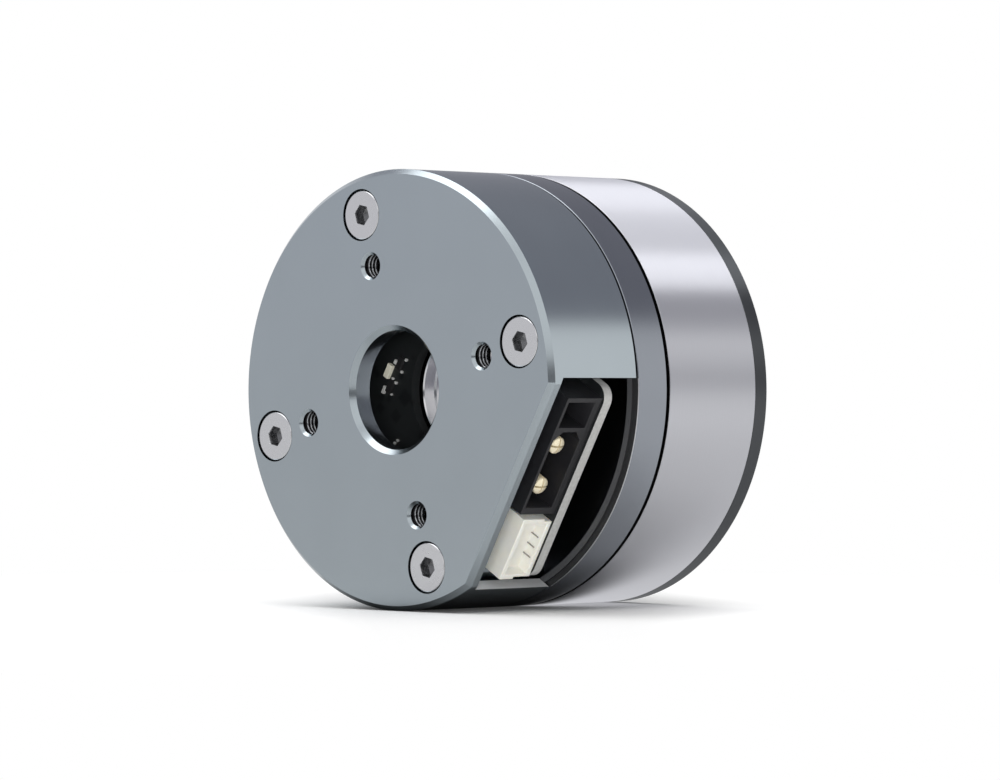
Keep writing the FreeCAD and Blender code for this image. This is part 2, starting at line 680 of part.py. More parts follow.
def make_phase_leads():
    """Three enamelled wires from the coils through the web to the board's back."""
    body = new_body("phase_leads")
    coil_front = "core_start - 2 * coil_gap - coil_thickness"
    sketch, pad = front_pad(body, "board_back", f"{coil_front} - board_back")
    for step in (-1, 0, 1):
        circle(sketch, "-lead_reach", f"lead_side + {step} * lead_pitch", "lead_radius")
    pad()


def make_stator_core():
    """A slotted ring of coated laminations: parallel teeth with widened tips, the first tooth on +X."""
    body = new_body("stator_core")
    sketch, pad = front_pad(body, "core_start", "core_length")
    circle(sketch, "0", "0", "core_radius")
    circle(sketch, "0", "0", "tube_radius + fit_gap")
    pad()
    step = "(360 / slot_count)"
    half_step = "(180 / slot_count)"
    half_tooth = "tooth_width / 2"
    shoe = "(core_radius - tooth_shoe)"
    beyond = "(core_radius + overcut)"

    def next_tooth(reach):
        """The near flank of the next tooth, at a reach along that tooth."""
        return (f"{reach} * cos({step}) + {half_tooth} * sin({step})",
                f"{reach} * sin({step}) - {half_tooth} * cos({step})")

    def mouth(reach, side):
        """A corner of the slot's mouth: side is -1 towards the first tooth and 1 towards the next."""
        return (f"{reach} * cos({half_step}) - {side} * slot_mouth / 2 * sin({half_step})",
                f"{reach} * sin({half_step}) + {side} * slot_mouth / 2 * cos({half_step})")

    slot = sketch_on(body, "XZ_Plane", ("0", "0", "-core_start"))
    outline(slot, (
        ("slot_root", half_tooth),
        ("tooth_neck", half_tooth),
        mouth(shoe, -1),
        mouth(beyond, -1),
        mouth(beyond, 1),
        mouth(shoe, 1),
        next_tooth("tooth_neck"),
        next_tooth("slot_root"),
    ))
    around(body, [grow(body, "Pocket", slot, "core_length")], "slot_count")


def make_windings():
    """One coil round each tooth, a flat loop."""
    body = new_body("windings")
    loop = sketch_on(body, "YZ_Plane", ("0", "0", "coil_root"))
    half = "(tooth_width / 2 + coil_gap)"
    near = "(core_start - coil_gap)"
    far = "(core_end + coil_gap)"
    rectangle(loop, near, far, f"-{half}", half)
    rectangle(loop, f"{near} - coil_thickness", f"{far} + coil_thickness",
              f"-{half} - coil_thickness", f"{half} + coil_thickness")
    around(body, [grow(body, "Pad", loop, "coil_tip - coil_root")], "slot_count")


def make_bearing(place, start):
    """A ball bearing: two rings with a groove for the balls, and a crown cage with its balls between them."""
    middle = f"({start} + bearing_width / 2)"
    end = f"({start} + bearing_width)"
    near = f"({middle} - race_width / 2)"
    far = f"({middle} + race_width / 2)"
    reach = "(ball_radius + ball_gap)"
    outer = new_body(f"{place}_bearing_outer")
    shoulder = "(bearing_radius - ring_thickness)"
    race = f"(pitch_radius + {reach})"
    turn(outer, "Revolution", (
        (shoulder, start),
        ("bearing_radius", start),
        ("bearing_radius", end),
        (shoulder, end),
        (shoulder, far),
        (race, far),
        (race, near),
        (shoulder, near),
    ))
    inner = new_body(f"{place}_bearing_inner")
    bore = "(shaft_radius + fit_gap)"
    shoulder = "(shaft_radius + ring_thickness)"
    race = f"(pitch_radius - {reach})"
    turn(inner, "Revolution", (
        (bore, start),
        (shoulder, start),
        (shoulder, near),
        (race, near),
        (race, far),
        (shoulder, far),
        (shoulder, end),
        (bore, end),
    ))
    make_ball_set(f"{place}_ball_set", middle)


def make_ball_set(label, middle):
    """Balls on the pitch circle, each a block with all its edges cut, and a crown cage on one side of them."""
    body = new_body(label)
    sketch, pad = front_pad(body, f"{middle} - ball_radius", "2 * ball_radius")
    rectangle(sketch, "pitch_radius - ball_radius", "pitch_radius + ball_radius", "-ball_radius", "ball_radius")
    ball = [pad()]
    facet = "ball_radius * tan(22.5)"
    views = (
        ("XZ_Plane", ("pitch_radius", "0", f"-{middle}")),
        ("XY_Plane", ("pitch_radius", middle, "0")),
        ("YZ_Plane", (middle, "0", "pitch_radius")),
    )
    for plane, centre in views:
        corners = sketch_on(body, plane, centre)
        for side in ("-", ""):
            for end in ("-", ""):
                outline(corners, (
                    (f"{side}ball_radius", f"{end}{facet}"),
                    (f"{side}ball_radius", f"{end}ball_radius"),
                    (f"{side}{facet}", f"{end}ball_radius"),
                ))
        ball.append(grow(body, "Pocket", corners, "2 * (ball_radius + overcut)", middle=True))
    around(body, ball, "ball_count")
    sketch, pad = front_pad(body, f"{middle} + ball_radius - cage_grip", "cage_width")
    circle(sketch, "0", "0", "pitch_radius - cage_thickness / 2")
    circle(sketch, "0", "0", "pitch_radius + cage_thickness / 2")
    pad()


def make_flux_ring():
    """The steel ring that carries the magnets."""
    body = new_body("flux_ring")
    turn(body, "Revolution", (
        ("flux_bore", "rotor_start"),
        ("case_radius - edge_break", "rotor_start"),
        ("case_radius", "rotor_start + edge_break"),
        ("case_radius", "rim_start"),
        ("flux_bore", "rim_start"),
    ))


def make_rotor_magnets():
    """Flat magnets glued inside the flux ring, level with the core."""
    body = new_body("rotor_magnets")
    start = "core_start + (core_length - magnet_length) / 2"
    magnet = box(body, "magnet_back - magnet_thickness", "magnet_back",
                 "-magnet_width / 2", "magnet_width / 2", start, "magnet_length")
    around(body, [magnet], "magnet_count")


def make_end_plate():
    """The output disc: a rim on the flux ring, a spigot inside it, a thin web and a hub on the shaft."""
    body = new_body("end_plate")
    web = "(rotor_end - end_web)"
    spigot = "(flux_bore - fit_gap)"
    hub = "(shaft_radius + hub_wall)"
    seat = "(shaft_radius + fit_gap)"
    hub_start = "(rear_bearing + bearing_width)"
    turn(body, "Revolution", (
        (seat, hub_start),
        (hub, hub_start),
        (hub, web),
        (f"{spigot} - spigot_wall", web),
        (f"{spigot} - spigot_wall", "rim_start - spigot_length"),
        (spigot, "rim_start - spigot_length"),
        (spigot, "rim_start"),
        ("case_radius", "rim_start"),
        ("case_radius", "rotor_end - end_bevel"),
        ("case_radius - end_bevel", "rotor_end"),
        (seat, "rotor_end"),
    ))
    hole = bored(body, [("output_x", "output_x")], "thread_radius", web, "end_web")
    around(body, [hole], "output_count")


def make_hollow_shaft():
    """A tube through the whole motor, with a clip groove and a counterbore behind the board."""
    body = new_body("hollow_shaft")
    mouth = "(shaft_bore + mouth_step)"
    groove = "(shaft_radius - clip_groove)"
    turn(body, "Revolution", (
        (mouth, "shaft_start"),
        ("shaft_radius", "shaft_start"),
        ("shaft_radius", "clip_start"),
        (groove, "clip_start"),
        (groove, "clip_start + clip_thickness"),
        ("shaft_radius", "clip_start + clip_thickness"),
        ("shaft_radius", "rotor_end"),
        ("shaft_bore", "rotor_end"),
        ("shaft_bore", "shaft_start + mouth_depth"),
        (mouth, "shaft_start + mouth_depth"),
    ))


def make_shaft_rings():
    """What sits on the shaft in front of the bearings: preload washer, retaining ring and encoder magnet."""
    washer = new_body("preload_washer")
    low = "(shaft_radius + fit_gap)"
    high = "(shaft_radius + ring_thickness)"
    start = "(front_bearing - washer_height)"
    turn(washer, "Revolution", (
        (low, start),
        (high, "front_bearing - washer_sheet"),
        (high, "front_bearing"),
        (low, f"{start} + washer_sheet"),
    ))
    clip = new_body("retaining_ring")
    inner = "(shaft_radius - clip_groove + fit_gap)"
    near = "(clip_start + fit_gap)"
    far = "(clip_start + clip_thickness - fit_gap)"
    section = ((inner, near), ("clip_radius", near), ("clip_radius", far), (inner, far))
    turn(clip, "Revolution", section, arc="clip_angle")
    encoder = new_body("encoder_magnet")
    end = "encoder_start + encoder_length"
    turn(encoder, "Revolution", (
        (low, "encoder_start"),
        ("encoder_radius", "encoder_start"),
        ("encoder_radius", end),
        (low, end),
    ))


make_rear_cover()
make_cover_screws()
make_driver_board()
make_board_screws()
make_power_connector()
make_power_pins()
make_signal_pins()
make_serial_connector()
make_serial_contacts()
make_board_chips()
make_stator_base()
make_phase_leads()
make_stator_core()
make_windings()
make_bearing("front", "front_bearing")
make_bearing("rear", "rear_bearing")
make_flux_ring()
make_rotor_magnets()
make_end_plate()
make_hollow_shaft()
make_shaft_rings()

doc.recompute()
failed = [item.Name for item in doc.Objects if "Invalid" in item.State or "Error" in item.State]
if failed:
    raise RuntimeError(f"objects that did not build: {failed}")
for body in SUBPARTS:
    if body.Shape.isNull() or not body.Shape.isValid():
        raise RuntimeError(f"no valid shape: {body.Label}")

os.makedirs("parts", exist_ok=True)
for body in SUBPARTS:
    body.Shape.exportStep(f"parts/{body.Label}.step")
    print(f"{body.Label}: {len(body.Shape.Solids)} solids, {body.Shape.Volume:.2f} mm3")
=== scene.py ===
import math

import bmesh
import bpy
import numpy as np
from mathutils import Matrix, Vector


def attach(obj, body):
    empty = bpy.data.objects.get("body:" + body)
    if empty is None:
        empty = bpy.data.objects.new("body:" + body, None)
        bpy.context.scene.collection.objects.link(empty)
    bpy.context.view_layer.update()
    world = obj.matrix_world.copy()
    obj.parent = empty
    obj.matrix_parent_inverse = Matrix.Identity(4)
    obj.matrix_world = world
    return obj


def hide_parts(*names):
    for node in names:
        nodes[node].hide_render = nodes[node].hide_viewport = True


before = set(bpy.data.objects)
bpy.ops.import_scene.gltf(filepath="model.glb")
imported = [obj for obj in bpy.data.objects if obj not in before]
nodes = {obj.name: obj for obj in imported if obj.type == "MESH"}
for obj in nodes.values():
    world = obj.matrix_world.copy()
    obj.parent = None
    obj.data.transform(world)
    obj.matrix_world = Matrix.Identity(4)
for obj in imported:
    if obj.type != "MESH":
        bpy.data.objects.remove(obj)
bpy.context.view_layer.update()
scene = bpy.context.scene
scene.view_settings.view_transform = "Standard"

# The table: the motor lies on its round case on a plain white top, which fades into the white
# room. Close to the motor the top is lit, so that it keeps the soft shadow under the case; painted
# light lifts the shadow's sides, and painted shade darkens what the metal mirrors near the case.
MM = 0.001
CASE_RADIUS = 24.0


def node(tree, kind, inputs=(), **values):
    """A new node of a tree. Each value sets the property or the input of that name, with _ for a
    space, and each pair in inputs sets an input by its name or number. Where the value is another
    node's output, the two are linked."""
    made = tree.nodes.new(f"ShaderNode{kind}")
    pairs = list(inputs)
    for name, value in values.items():
        if hasattr(made, name):
            setattr(made, name, value)
        else:
            pairs.append((name.replace("_", " "), value))
    for place, value in pairs:
        if isinstance(value, bpy.types.NodeSocket):
            tree.links.new(value, made.inputs[place])
        else:
            made.inputs[place].default_value = value
    return made


def maths(tree, operation, *numbers):
    """The result of a calculation with numbers."""
    return node(tree, "Math", enumerate(numbers), operation=operation).outputs[0]


def vectors(tree, operation, *places):
    """The result of a calculation with places: a number for a length or a dot product."""
    made = node(tree, "VectorMath", enumerate(places), operation=operation)
    return made.outputs["Value" if operation in ("LENGTH", "DOT_PRODUCT") else "Vector"]


def mapped(tree, number, low, high, first=0.0, last=1.0, smooth=False):
    """A number that runs from first to last while the given one runs from low to high."""
    return node(tree, "MapRange", [("Value", number)], From_Min=low, From_Max=high, To_Min=first,
                To_Max=last, interpolation_type="SMOOTHSTEP" if smooth else "LINEAR").outputs[0]


def make_table():
    """A flat square at the height of the case's lowest line. It turns plain white away from the
    motor, and what the metal mirrors of it is painted darker the closer it lies to the motor, as
    painted shade. Beside the shadow, painted light lifts it for the camera."""
    half = 3.0
    mesh = bpy.data.meshes.new("table")
    corners = np.array([(-half, -half), (half, -half), (half, half), (-half, half)])
    mesh.from_pydata(np.column_stack((corners, np.full(4, -CASE_RADIUS * MM))), [], [(0, 1, 2, 3)])
    table = bpy.data.objects.new("table", mesh)
    scene.collection.objects.link(table)
    material = bpy.data.materials.new("white_table")
    material.use_nodes = True
    tree = material.node_tree
    tree.nodes.clear()
    rays = node(tree, "LightPath").outputs
    mirrored = rays["Is Glossy Ray"]
    direct = maths(tree, "MAXIMUM", rays["Is Camera Ray"], rays["Is Transmission Ray"])
    seen = maths(tree, "MAXIMUM", direct, mirrored)
    place = node(tree, "TexCoord").outputs["Object"]

    # Where the top is plain white: far off, and in the metal's mirror image also behind the rotor,
    # as a painted reflection that leaves out the motor's shadow there.
    far = mapped(tree, vectors(tree, "LENGTH", place), 0.045, 0.12, smooth=True)
    off_the_cover = (-0.59, 1, 0)
    rearward = vectors(tree, "DOT_PRODUCT", place, off_the_cover)
    painted_reflection_behind = mapped(tree, rearward, 0.0155, 0.021, smooth=True)
    white_share = maths(tree, "MAXIMUM", maths(tree, "MULTIPLY", far, seen),
                        maths(tree, "MULTIPLY", painted_reflection_behind, mirrored))
    # Painted light: in the metal's mirror image the white top is brighter towards the back right
    # corner.
    rightward = vectors(tree, "DOT_PRODUCT", place, (1, 1, 0))
    painted_corner_light = mapped(tree, rightward, -0.1, 0.1, 0.68, 0.95, smooth=True)
    white = node(tree, "Emission", Strength=mapped(tree, mirrored, 0, 1, 1.0, painted_corner_light))

    # Where it is lit: painted light for the camera from both sides of the shadow, and painted shade
    # that the metal sees darker towards the line on which the case rests.
    camera_right, shadow_middle = (0.7085, 0.7057, 0), 0.012
    across = vectors(tree, "DOT_PRODUCT", place, camera_right)
    beside = maths(tree, "ABSOLUTE", maths(tree, "SUBTRACT", across, shadow_middle))
    painted_fill_light = mapped(tree, beside, 0.0125, 0.029, 0.02, 0.3, smooth=True)
    glow = node(tree, "Emission", Strength=mapped(tree, direct, 0, 1, 0, painted_fill_light))
    ahead = vectors(tree, "MINIMUM", place, (1, 0, 1))
    from_line = vectors(tree, "LENGTH", vectors(tree, "MULTIPLY", ahead, (1, 1, 0)))
    painted_contact_shade = mapped(tree, from_line, 0.004, 0.016, 0.1, 0.72)
    lit = node(tree, "BsdfDiffuse", Color=mapped(tree, mirrored, 0, 1, 0.92, painted_contact_shade))
    near = node(tree, "AddShader", [(0, lit.outputs[0]), (1, glow.outputs[0])])
    top = node(tree, "MixShader", [(0, white_share), (1, near.outputs[0]), (2, white.outputs[0])])
    node(tree, "OutputMaterial", Surface=top.outputs[0])
    mesh.materials.append(material)


make_table()

# The light: a white room, wide soft panels overhead and a small one in front that reaches through
# the bore. In what the metal mirrors there is a white wall behind the motor, a darker ceiling, and
# a dark strip level with the camera.
def make_light():
    """The room's tone is a ramp over height, one for each side, blended by direction."""
    world = bpy.data.worlds.new("studio")
    scene.world = world
    world.use_nodes = True
    tree = world.node_tree
    place = node(tree, "TexCoord").outputs["Generated"]
    way = node(tree, "SeparateXYZ", [(0, place)]).outputs

    def side(stops, cool=0.12):
        """A ramp from the horizon up, of (height, tone). Its darker tones are cooler by the share
        cool."""
        ramp = node(tree, "ValToRGB", [(0, way["Z"])])
        while len(ramp.color_ramp.elements) < len(stops):
            ramp.color_ramp.elements.new(0.5)
        for element, (height, tone) in zip(ramp.color_ramp.elements, stops):
            shade = cool * (1 - tone)
            element.position = height
            element.color = (tone * (1 - shade / 2), tone * (1 - shade / 2), tone * (1 + shade), 1)
        return ramp.outputs[0]

    def blend(axis, low, high, first, second):
        """One side's tones that turn into another's while the direction runs from low to high."""
        share = mapped(tree, way[axis], low, high, smooth=True)
        return node(tree, "MixRGB", [(0, share), (1, first), (2, second)]).outputs[0]

    wall = side(((0.0, 1.0), (0.36, 1.0), (0.44, 0.30), (0.74, 0.29), (0.84, 0.5)))
    back_left = side(((0.0, 0.5), (0.15, 0.36), (0.3, 0.30), (0.74, 0.29), (0.84, 0.5)))
    left_end = side(((0.0, 0.85), (0.4, 0.85), (0.6, 0.5), (0.74, 0.4), (0.84, 0.5)))
    right_end = side(((0.0, 0.62), (0.3, 0.38), (0.6, 0.36), (0.74, 0.36), (0.84, 0.5)))
    front_right = side(((0.0, 0.06), (0.14, 0.08), (0.21, 1.0), (0.7, 1.0), (0.84, 1.0)))
    front_left = side(((0.0, 0.70), (0.3, 0.70), (0.55, 0.45), (0.74, 0.5), (0.84, 1.0)))
    back = blend("X", 0.88, 0.97, blend("X", 0.27, 0.47, back_left, wall), right_end)
    back = blend("X", -0.85, -0.7, left_end, back)
    front = blend("X", 0.1, 0.4, front_left, front_right)
    mirrored = blend("Y", -0.2, 0.2, front, back)
    rays = node(tree, "LightPath").outputs
    room = node(tree, "MixRGB", [(0, rays["Is Glossy Ray"]), (2, mirrored)], Color1=(1, 1, 1, 1))
    ambient = side(((0.0, 0.12), (0.35, 0.28), (0.7, 0.42)), 0.0)
    soft = node(tree, "MixRGB", [(0, rays["Is Diffuse Ray"]), (1, room.outputs[0]), (2, ambient)])
    tree.links.new(soft.outputs[0], tree.nodes["Background"].inputs["Color"])

    def panel(name, place, aim, wide, deep, watts):
        """A rectangular lamp that shines the way it aims."""
        lamp = bpy.data.lights.new(name, "AREA")
        lamp.shape = "RECTANGLE"
        lamp.size = wide
        lamp.size_y = deep
        lamp.energy = watts
        hung = bpy.data.objects.new(name, lamp)
        scene.collection.objects.link(hung)
        hung.location = place
        hung.rotation_euler = Vector(aim).to_track_quat("-Z", "Y").to_euler()
        return hung

    ceiling, down = 0.8, (0, 0, -1)
    panel("left_panel", (-0.495, -0.465, ceiling), down, 0.91, 0.87, 4.2)
    panel("back_panel", (-0.22, 0.235, ceiling), down, 0.36, 0.53, 0.95)
    panel("middle_panel", (0.165, 0.075, ceiling), down, 0.41, 0.85, 1.15)
    panel("right_panel", (0.565, 0.075, ceiling), down, 0.39, 0.85, 2.8)
    front_panel = panel("front_panel", (0.62, -0.62, 0.012), (-1, 1, 0), 0.4, 0.06, 4.2)
    front_panel.visible_glossy = False


make_light()

# The camera: level with the motor's axis, 45 degrees off it, half a metre away with a long lens.
# It aims past the mounting face, at the middle of the motor's length.
camera = bpy.data.objects.new("camera", bpy.data.cameras.new("camera"))
scene.collection.objects.link(camera)
camera.location = (0.3733, -0.3584, 0.0)
camera.rotation_euler = Vector((-0.7057, 0.7085, 0.0)).to_track_quat("-Z", "Y").to_euler()
camera.data.lens = 171.6
camera.data.sensor_width = 36.0
camera.data.clip_start = 0.01
scene.camera = camera

# Stator base: a shallow cup turned from aluminium, with a bearing tube, bosses for the cover screws
# and standoffs for the board. It is anodised dark grey, and its rim is the narrow ring between the
# cover and the rotor.
POSE = math.radians(30)
QUARTERS = np.radians([45, 135, 225, 315])
SCREW_CIRCLE = 19.8
PILLAR = 2.82
WALL = 1.4
WINDOW_HALF = 13.1


def ends(name):
    """Where a CAD node starts and ends along the motor's axis, in millimetres."""
    places = np.empty(3 * len(nodes[name].data.vertices))
    nodes[name].data.vertices.foreach_get("co", places)
    heights = places[1::3] / MM
    return float(heights.min()), float(heights.max())


def posed(points):
    """Points in millimetres, drawn with the window on +X, turned about the motor's axis to where it
    rests."""
    x, y, z = np.moveaxis(np.asarray(points, dtype=float), -1, 0)
    turned_x = x * math.cos(POSE) + z * math.sin(POSE)
    turned_z = z * math.cos(POSE) - x * math.sin(POSE)
    return np.stack((turned_x, y, turned_z), axis=-1) * MM


def cleaned(piece, sharp=30):
    """Merges doubles, turns the faces outwards and sets which edges are sharp."""
    shape = bmesh.new()
    shape.from_mesh(piece.data)
    bmesh.ops.remove_doubles(shape, verts=shape.verts, dist=2e-6)
    bmesh.ops.dissolve_degenerate(shape, edges=shape.edges, dist=1e-7)
    bmesh.ops.recalc_face_normals(shape, faces=shape.faces)
    shape.to_mesh(piece.data)
    shape.free()
    piece.data.shade_smooth()
    piece.data.set_sharp_from_angle(angle=math.radians(sharp))


def piece_from(name, points, faces, sharp=30):
    """A clean piece from posed points, smooth but for edges over the sharp angle."""
    mesh = bpy.data.meshes.new(name)
    mesh.from_pydata(points.reshape(-1, 3), [], faces)
    piece = bpy.data.objects.new(name, mesh)
    scene.collection.objects.link(piece)
    cleaned(piece, sharp)
    return piece


def grid_faces(rows, columns, close_rows=False, first=0):
    """Quads over a grid of points, closed along each row and, if asked, from the last row to the
    first."""
    row = np.arange(rows if close_rows else rows - 1)[:, None]
    column = np.arange(columns)[None, :]
    below = (row + 1) % rows
    beside = (column + 1) % columns
    quads = np.stack((row * columns + column, row * columns + beside,
                      below * columns + beside, below * columns + column), axis=-1)
    return (first + quads.reshape(-1, 4)).tolist()


def rings_about(name, reach, level, centres, close_rows, sharp=30):
    """A piece of rings about axes along Y: row by row, the grid reach gives the distance from the
    axis in each direction and level the place along it, repeated at each centre (x, z)."""
    rows, steps = reach.shape
    angle = np.linspace(0, 2 * math.pi, steps, endpoint=False)
    ring = np.stack((reach * np.cos(angle), level, reach * np.sin(angle)), axis=-1)
    centres = np.asarray(centres, dtype=float)
    shifts = np.column_stack((centres[:, 0], np.zeros(len(centres)), centres[:, 1]))
    faces = []
    for number in range(len(centres)):
        faces += grid_faces(rows, steps, close_rows, number * rows * steps)
    return piece_from(name, posed(ring + shifts[:, None, None, :]), faces, sharp)


def turned(name, profile, steps=360, centres=((0.0, 0.0),)):
    """A lathe piece: a profile of (radius, y) carried round an axis along Y at each centre. A
    profile that starts and ends on the axis closes there, and any other closes on itself."""
    profile = np.asarray(profile, dtype=float)
    reach = np.repeat(profile[:, :1], steps, axis=1)
    level = np.repeat(profile[:, 1:], steps, axis=1)
    return rings_about(name, reach, level, centres, profile[0, 0] > 0)


def rod(name, radius, start, end, centres, steps=48):
    """Round rods along Y."""
    return turned(name, ((0, start), (radius, start), (radius, end), (0, end)), steps, centres)


def at(radius, angles):
    """Places (x, z) at a radius from the motor's axis."""
    return np.stack((radius * np.cos(angles), radius * np.sin(angles)), axis=-1)


def machined(piece, tool, operation="DIFFERENCE"):
    """Cuts a tool out of a piece, or joins it on, and removes the tool."""
    change = piece.modifiers.new("machining", "BOOLEAN")
    change.object = tool
    change.operation = operation
    change.solver = "EXACT"
    graph = bpy.context.evaluated_depsgraph_get()
    mesh = bpy.data.meshes.new_from_object(piece.evaluated_get(graph))
    piece.modifiers.clear()
    piece.data = mesh
    mesh.name = piece.name
    bpy.data.objects.remove(tool)
    cleaned(piece)


def face_middles(piece):
    """The middles of a piece's faces as x, y and z in millimetres, turned back to the window on
    +X."""
    middles = np.empty(3 * len(piece.data.polygons))
    piece.data.polygons.foreach_get("center", middles)
    x, y, z = middles.reshape(-1, 3).T / MM
    return x * math.cos(POSE) - z * math.sin(POSE), y, x * math.sin(POSE) + z * math.cos(POSE)


def painted(piece, kinds):
    """Gives each face of a piece the material of its number."""
    piece.data.polygons.foreach_set("material_index", kinds.astype(np.int32))


def shader(name, metallic=0.0):
    """A new material with its node tree, its Principled shader and the place on the object."""
    material = bpy.data.materials.new(name)
    material.use_nodes = True
    tree = material.node_tree
    bsdf = tree.nodes["Principled BSDF"]
    bsdf.inputs["Metallic"].default_value = metallic
    return material, tree, bsdf, node(tree, "TexCoord").outputs["Object"]


def noise(tree, place, scale, detail):
    """An uneven pattern over places."""
    return node(tree, "TexNoise", [("Vector", place)], Scale=scale, Detail=detail).outputs["Fac"]


def tinted(tree, bsdf, colour, pattern, low, high):
    """The shader's colour, darker and lighter with a pattern between the shares low and high."""
    tone = mapped(tree, pattern, 0, 1, low, high)
    shade = node(tree, "VectorMath", [(0, colour), ("Scale", tone)], operation="SCALE")
    tree.links.new(shade.outputs[0], bsdf.inputs["Base Color"])


def roughened(tree, bsdf, pattern, low, high):
    """The shader's roughness between two values, by a pattern."""
    tree.links.new(mapped(tree, pattern, 0, 1, low, high), bsdf.inputs["Roughness"])


def bumped(tree, bsdf, pattern, strength, height):
    """Small heights on the surface, by a pattern, in metres."""
    bump = node(tree, "Bump", [("Height", pattern)], Strength=strength, Distance=height)
    tree.links.new(bump.outputs[0], bsdf.inputs["Normal"])


def anodised(name, colour, roughness, metallic=1.0):
    """Blasted and anodised aluminium: a fine grain in the surface, and faint clouds in tone and
    gloss."""
    material, tree, bsdf, place = shader(name, metallic)
    clouds = noise(tree, place, 120.0, 3.0)
    tinted(tree, bsdf, colour, clouds, 0.965, 1.035)
    roughened(tree, bsdf, clouds, roughness - 0.02, roughness + 0.02)
    bumped(tree, bsdf, noise(tree, place, 3500.0, 1.0), 0.05, 4e-6)
    return material


SCREW_PLACES = at(SCREW_CIRCLE, QUARTERS)


def make_stator_base():
    """The turned cup with its tube, then bosses and standoffs joined on and their holes drilled.
    Its rim is relieved outside, which leaves a fine groove to the cover; in the window the groove
    and the rim's face are dark with painted shade."""
    seam = ends("rear_cover")[1]
    core_start = ends("stator_core")[0]
    front_stop = ends("front_bearing_outer")[1]
    rear_stop, tube_end = ends("rear_bearing_outer")
    back = core_start - 2.0
    web = back - 2.4
    inside = CASE_RADIUS - WALL
    groove_floor, groove_end = CASE_RADIUS - 0.7, seam + 0.3
    front_edge, back_edge = 0.07, 0.03
    tube, core_seat, bearing_seat, bearing_stop = 13.4, 14.6, 12.02, 11.0
    base = turned("base_ring", (
        (groove_floor, seam), (groove_floor, groove_end), (CASE_RADIUS - front_edge, groove_end),
        (CASE_RADIUS, groove_end + front_edge), (CASE_RADIUS, back - back_edge),
        (CASE_RADIUS - back_edge, back), (core_seat, back), (core_seat, core_start),
        (tube, core_start), (tube, tube_end), (bearing_seat, tube_end), (bearing_seat, rear_stop),
        (bearing_stop, rear_stop), (bearing_stop, front_stop), (bearing_seat, front_stop),
        (bearing_seat, web), (inside, web), (inside, seam),
    ))
    board_back = ends("driver_board")[1]
    standoffs = at(17.5, np.radians([-90, 180, 90]))
    standoff, pilot_hole, pilot_depth = 2.0, 1.05, 3.05
    screw_hole, lead_hole, lead_place = 1.55, 2.2, (-17.51, 6.4)
    in_web = web + 1.2
    past = 1.0
    machined(base, rod("bosses", PILLAR, seam, in_web, SCREW_PLACES), "UNION")
    machined(base, rod("standoffs", standoff, board_back, in_web, standoffs), "UNION")
    machined(base, rod("screw_holes", screw_hole, seam - past, back + past, SCREW_PLACES))
    machined(base, rod("standoff_holes", pilot_hole, board_back - past, board_back + pilot_depth,
                       standoffs))
    machined(base, rod("lead_hole", lead_hole, web - past, back + past, (lead_place,)))
    base.data.materials.append(anodised("base_anodised", (0.29, 0.31, 0.345), 0.24))
    base.data.materials.append(anodised("base_inside", (0.15, 0.155, 0.17), 0.34))
    base.data.materials.append(anodised("base_bare_edge", (0.56, 0.57, 0.59), 0.3))
    # Painted shade: dark tones for the rim's face and the groove where they show in the window.
    for name, tone in (("base_rim_painted_shade", 0.088), ("base_groove_painted_shade", 0.03)):
        painted_dark = anodised(name, (tone, tone * 1.02, tone * 1.08), 0.45, 0.3)
        base.data.materials.append(painted_dark)
    outer, within, bare_edge_and_highlight, rim, groove = range(5)
    near = 0.01
    x, y, z = face_middles(base)
    reach = np.hypot(x, z)
    in_window = (np.abs(z) < WINDOW_HALF) & (x > 0)
    under_edge = reach < CASE_RADIUS - front_edge - near
    in_wall = in_window & (reach > inside + near) & under_edge
    kinds = np.where(under_edge, within, outer)
    # A bare cut edge in the window, whose bright tone is also a painted highlight.
    kinds[in_window & (reach > CASE_RADIUS - 0.06) & (y < groove_end + 0.06)] = bare_edge_and_highlight
    kinds[in_wall & (y < groove_end + near)] = groove
    kinds[in_wall & (reach < groove_floor - near) & (y < seam + near)] = rim
    painted(base, kinds)
    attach(base, "stator")
    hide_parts("stator_base")


make_stator_base()

# Bearings: two ball bearings, pressed into the tube, that carry the hollow shaft.
# The rings are ground steel, and the balls run in a crown cage.
def dressed(material, *names):
    """Gives CAD nodes a material."""
    for name in names:
        slots = nodes[name].data.materials
        slots.clear()
        slots.append(material)


def from_axis(tree, place):
    """The distance of a place from an axis along Y."""
    return vectors(tree, "LENGTH", vectors(tree, "MULTIPLY", place, (1, 0, 1)))


def ground_steel(name, colour, roughness, lines_depth=0.05):
    """Ground steel: fine lines round the axis, in tone, gloss and surface, by the place along and
    from the axis."""
    material, tree, bsdf, place = shader(name, 1.0)
    height = node(tree, "SeparateXYZ", [(0, place)]).outputs["Y"]
    along = maths(tree, "ADD", height, from_axis(tree, place))
    lines = node(tree, "TexNoise", [("W", along)], noise_dimensions="1D", Scale=9000.0,
                 Detail=3.0).outputs["Fac"]
    tinted(tree, bsdf, colour, lines, 1 - lines_depth, 1 + lines_depth)
    roughened(tree, bsdf, lines, roughness - lines_depth, roughness + lines_depth)
    bumped(tree, bsdf, lines, 0.08, 4e-5 * lines_depth)
    return material


dressed(ground_steel("bearing_ground_steel", (0.68, 0.69, 0.71), 0.22),
        "front_bearing_outer", "rear_bearing_outer", "front_bearing_inner", "rear_bearing_inner",
        "front_ball_set", "rear_ball_set")

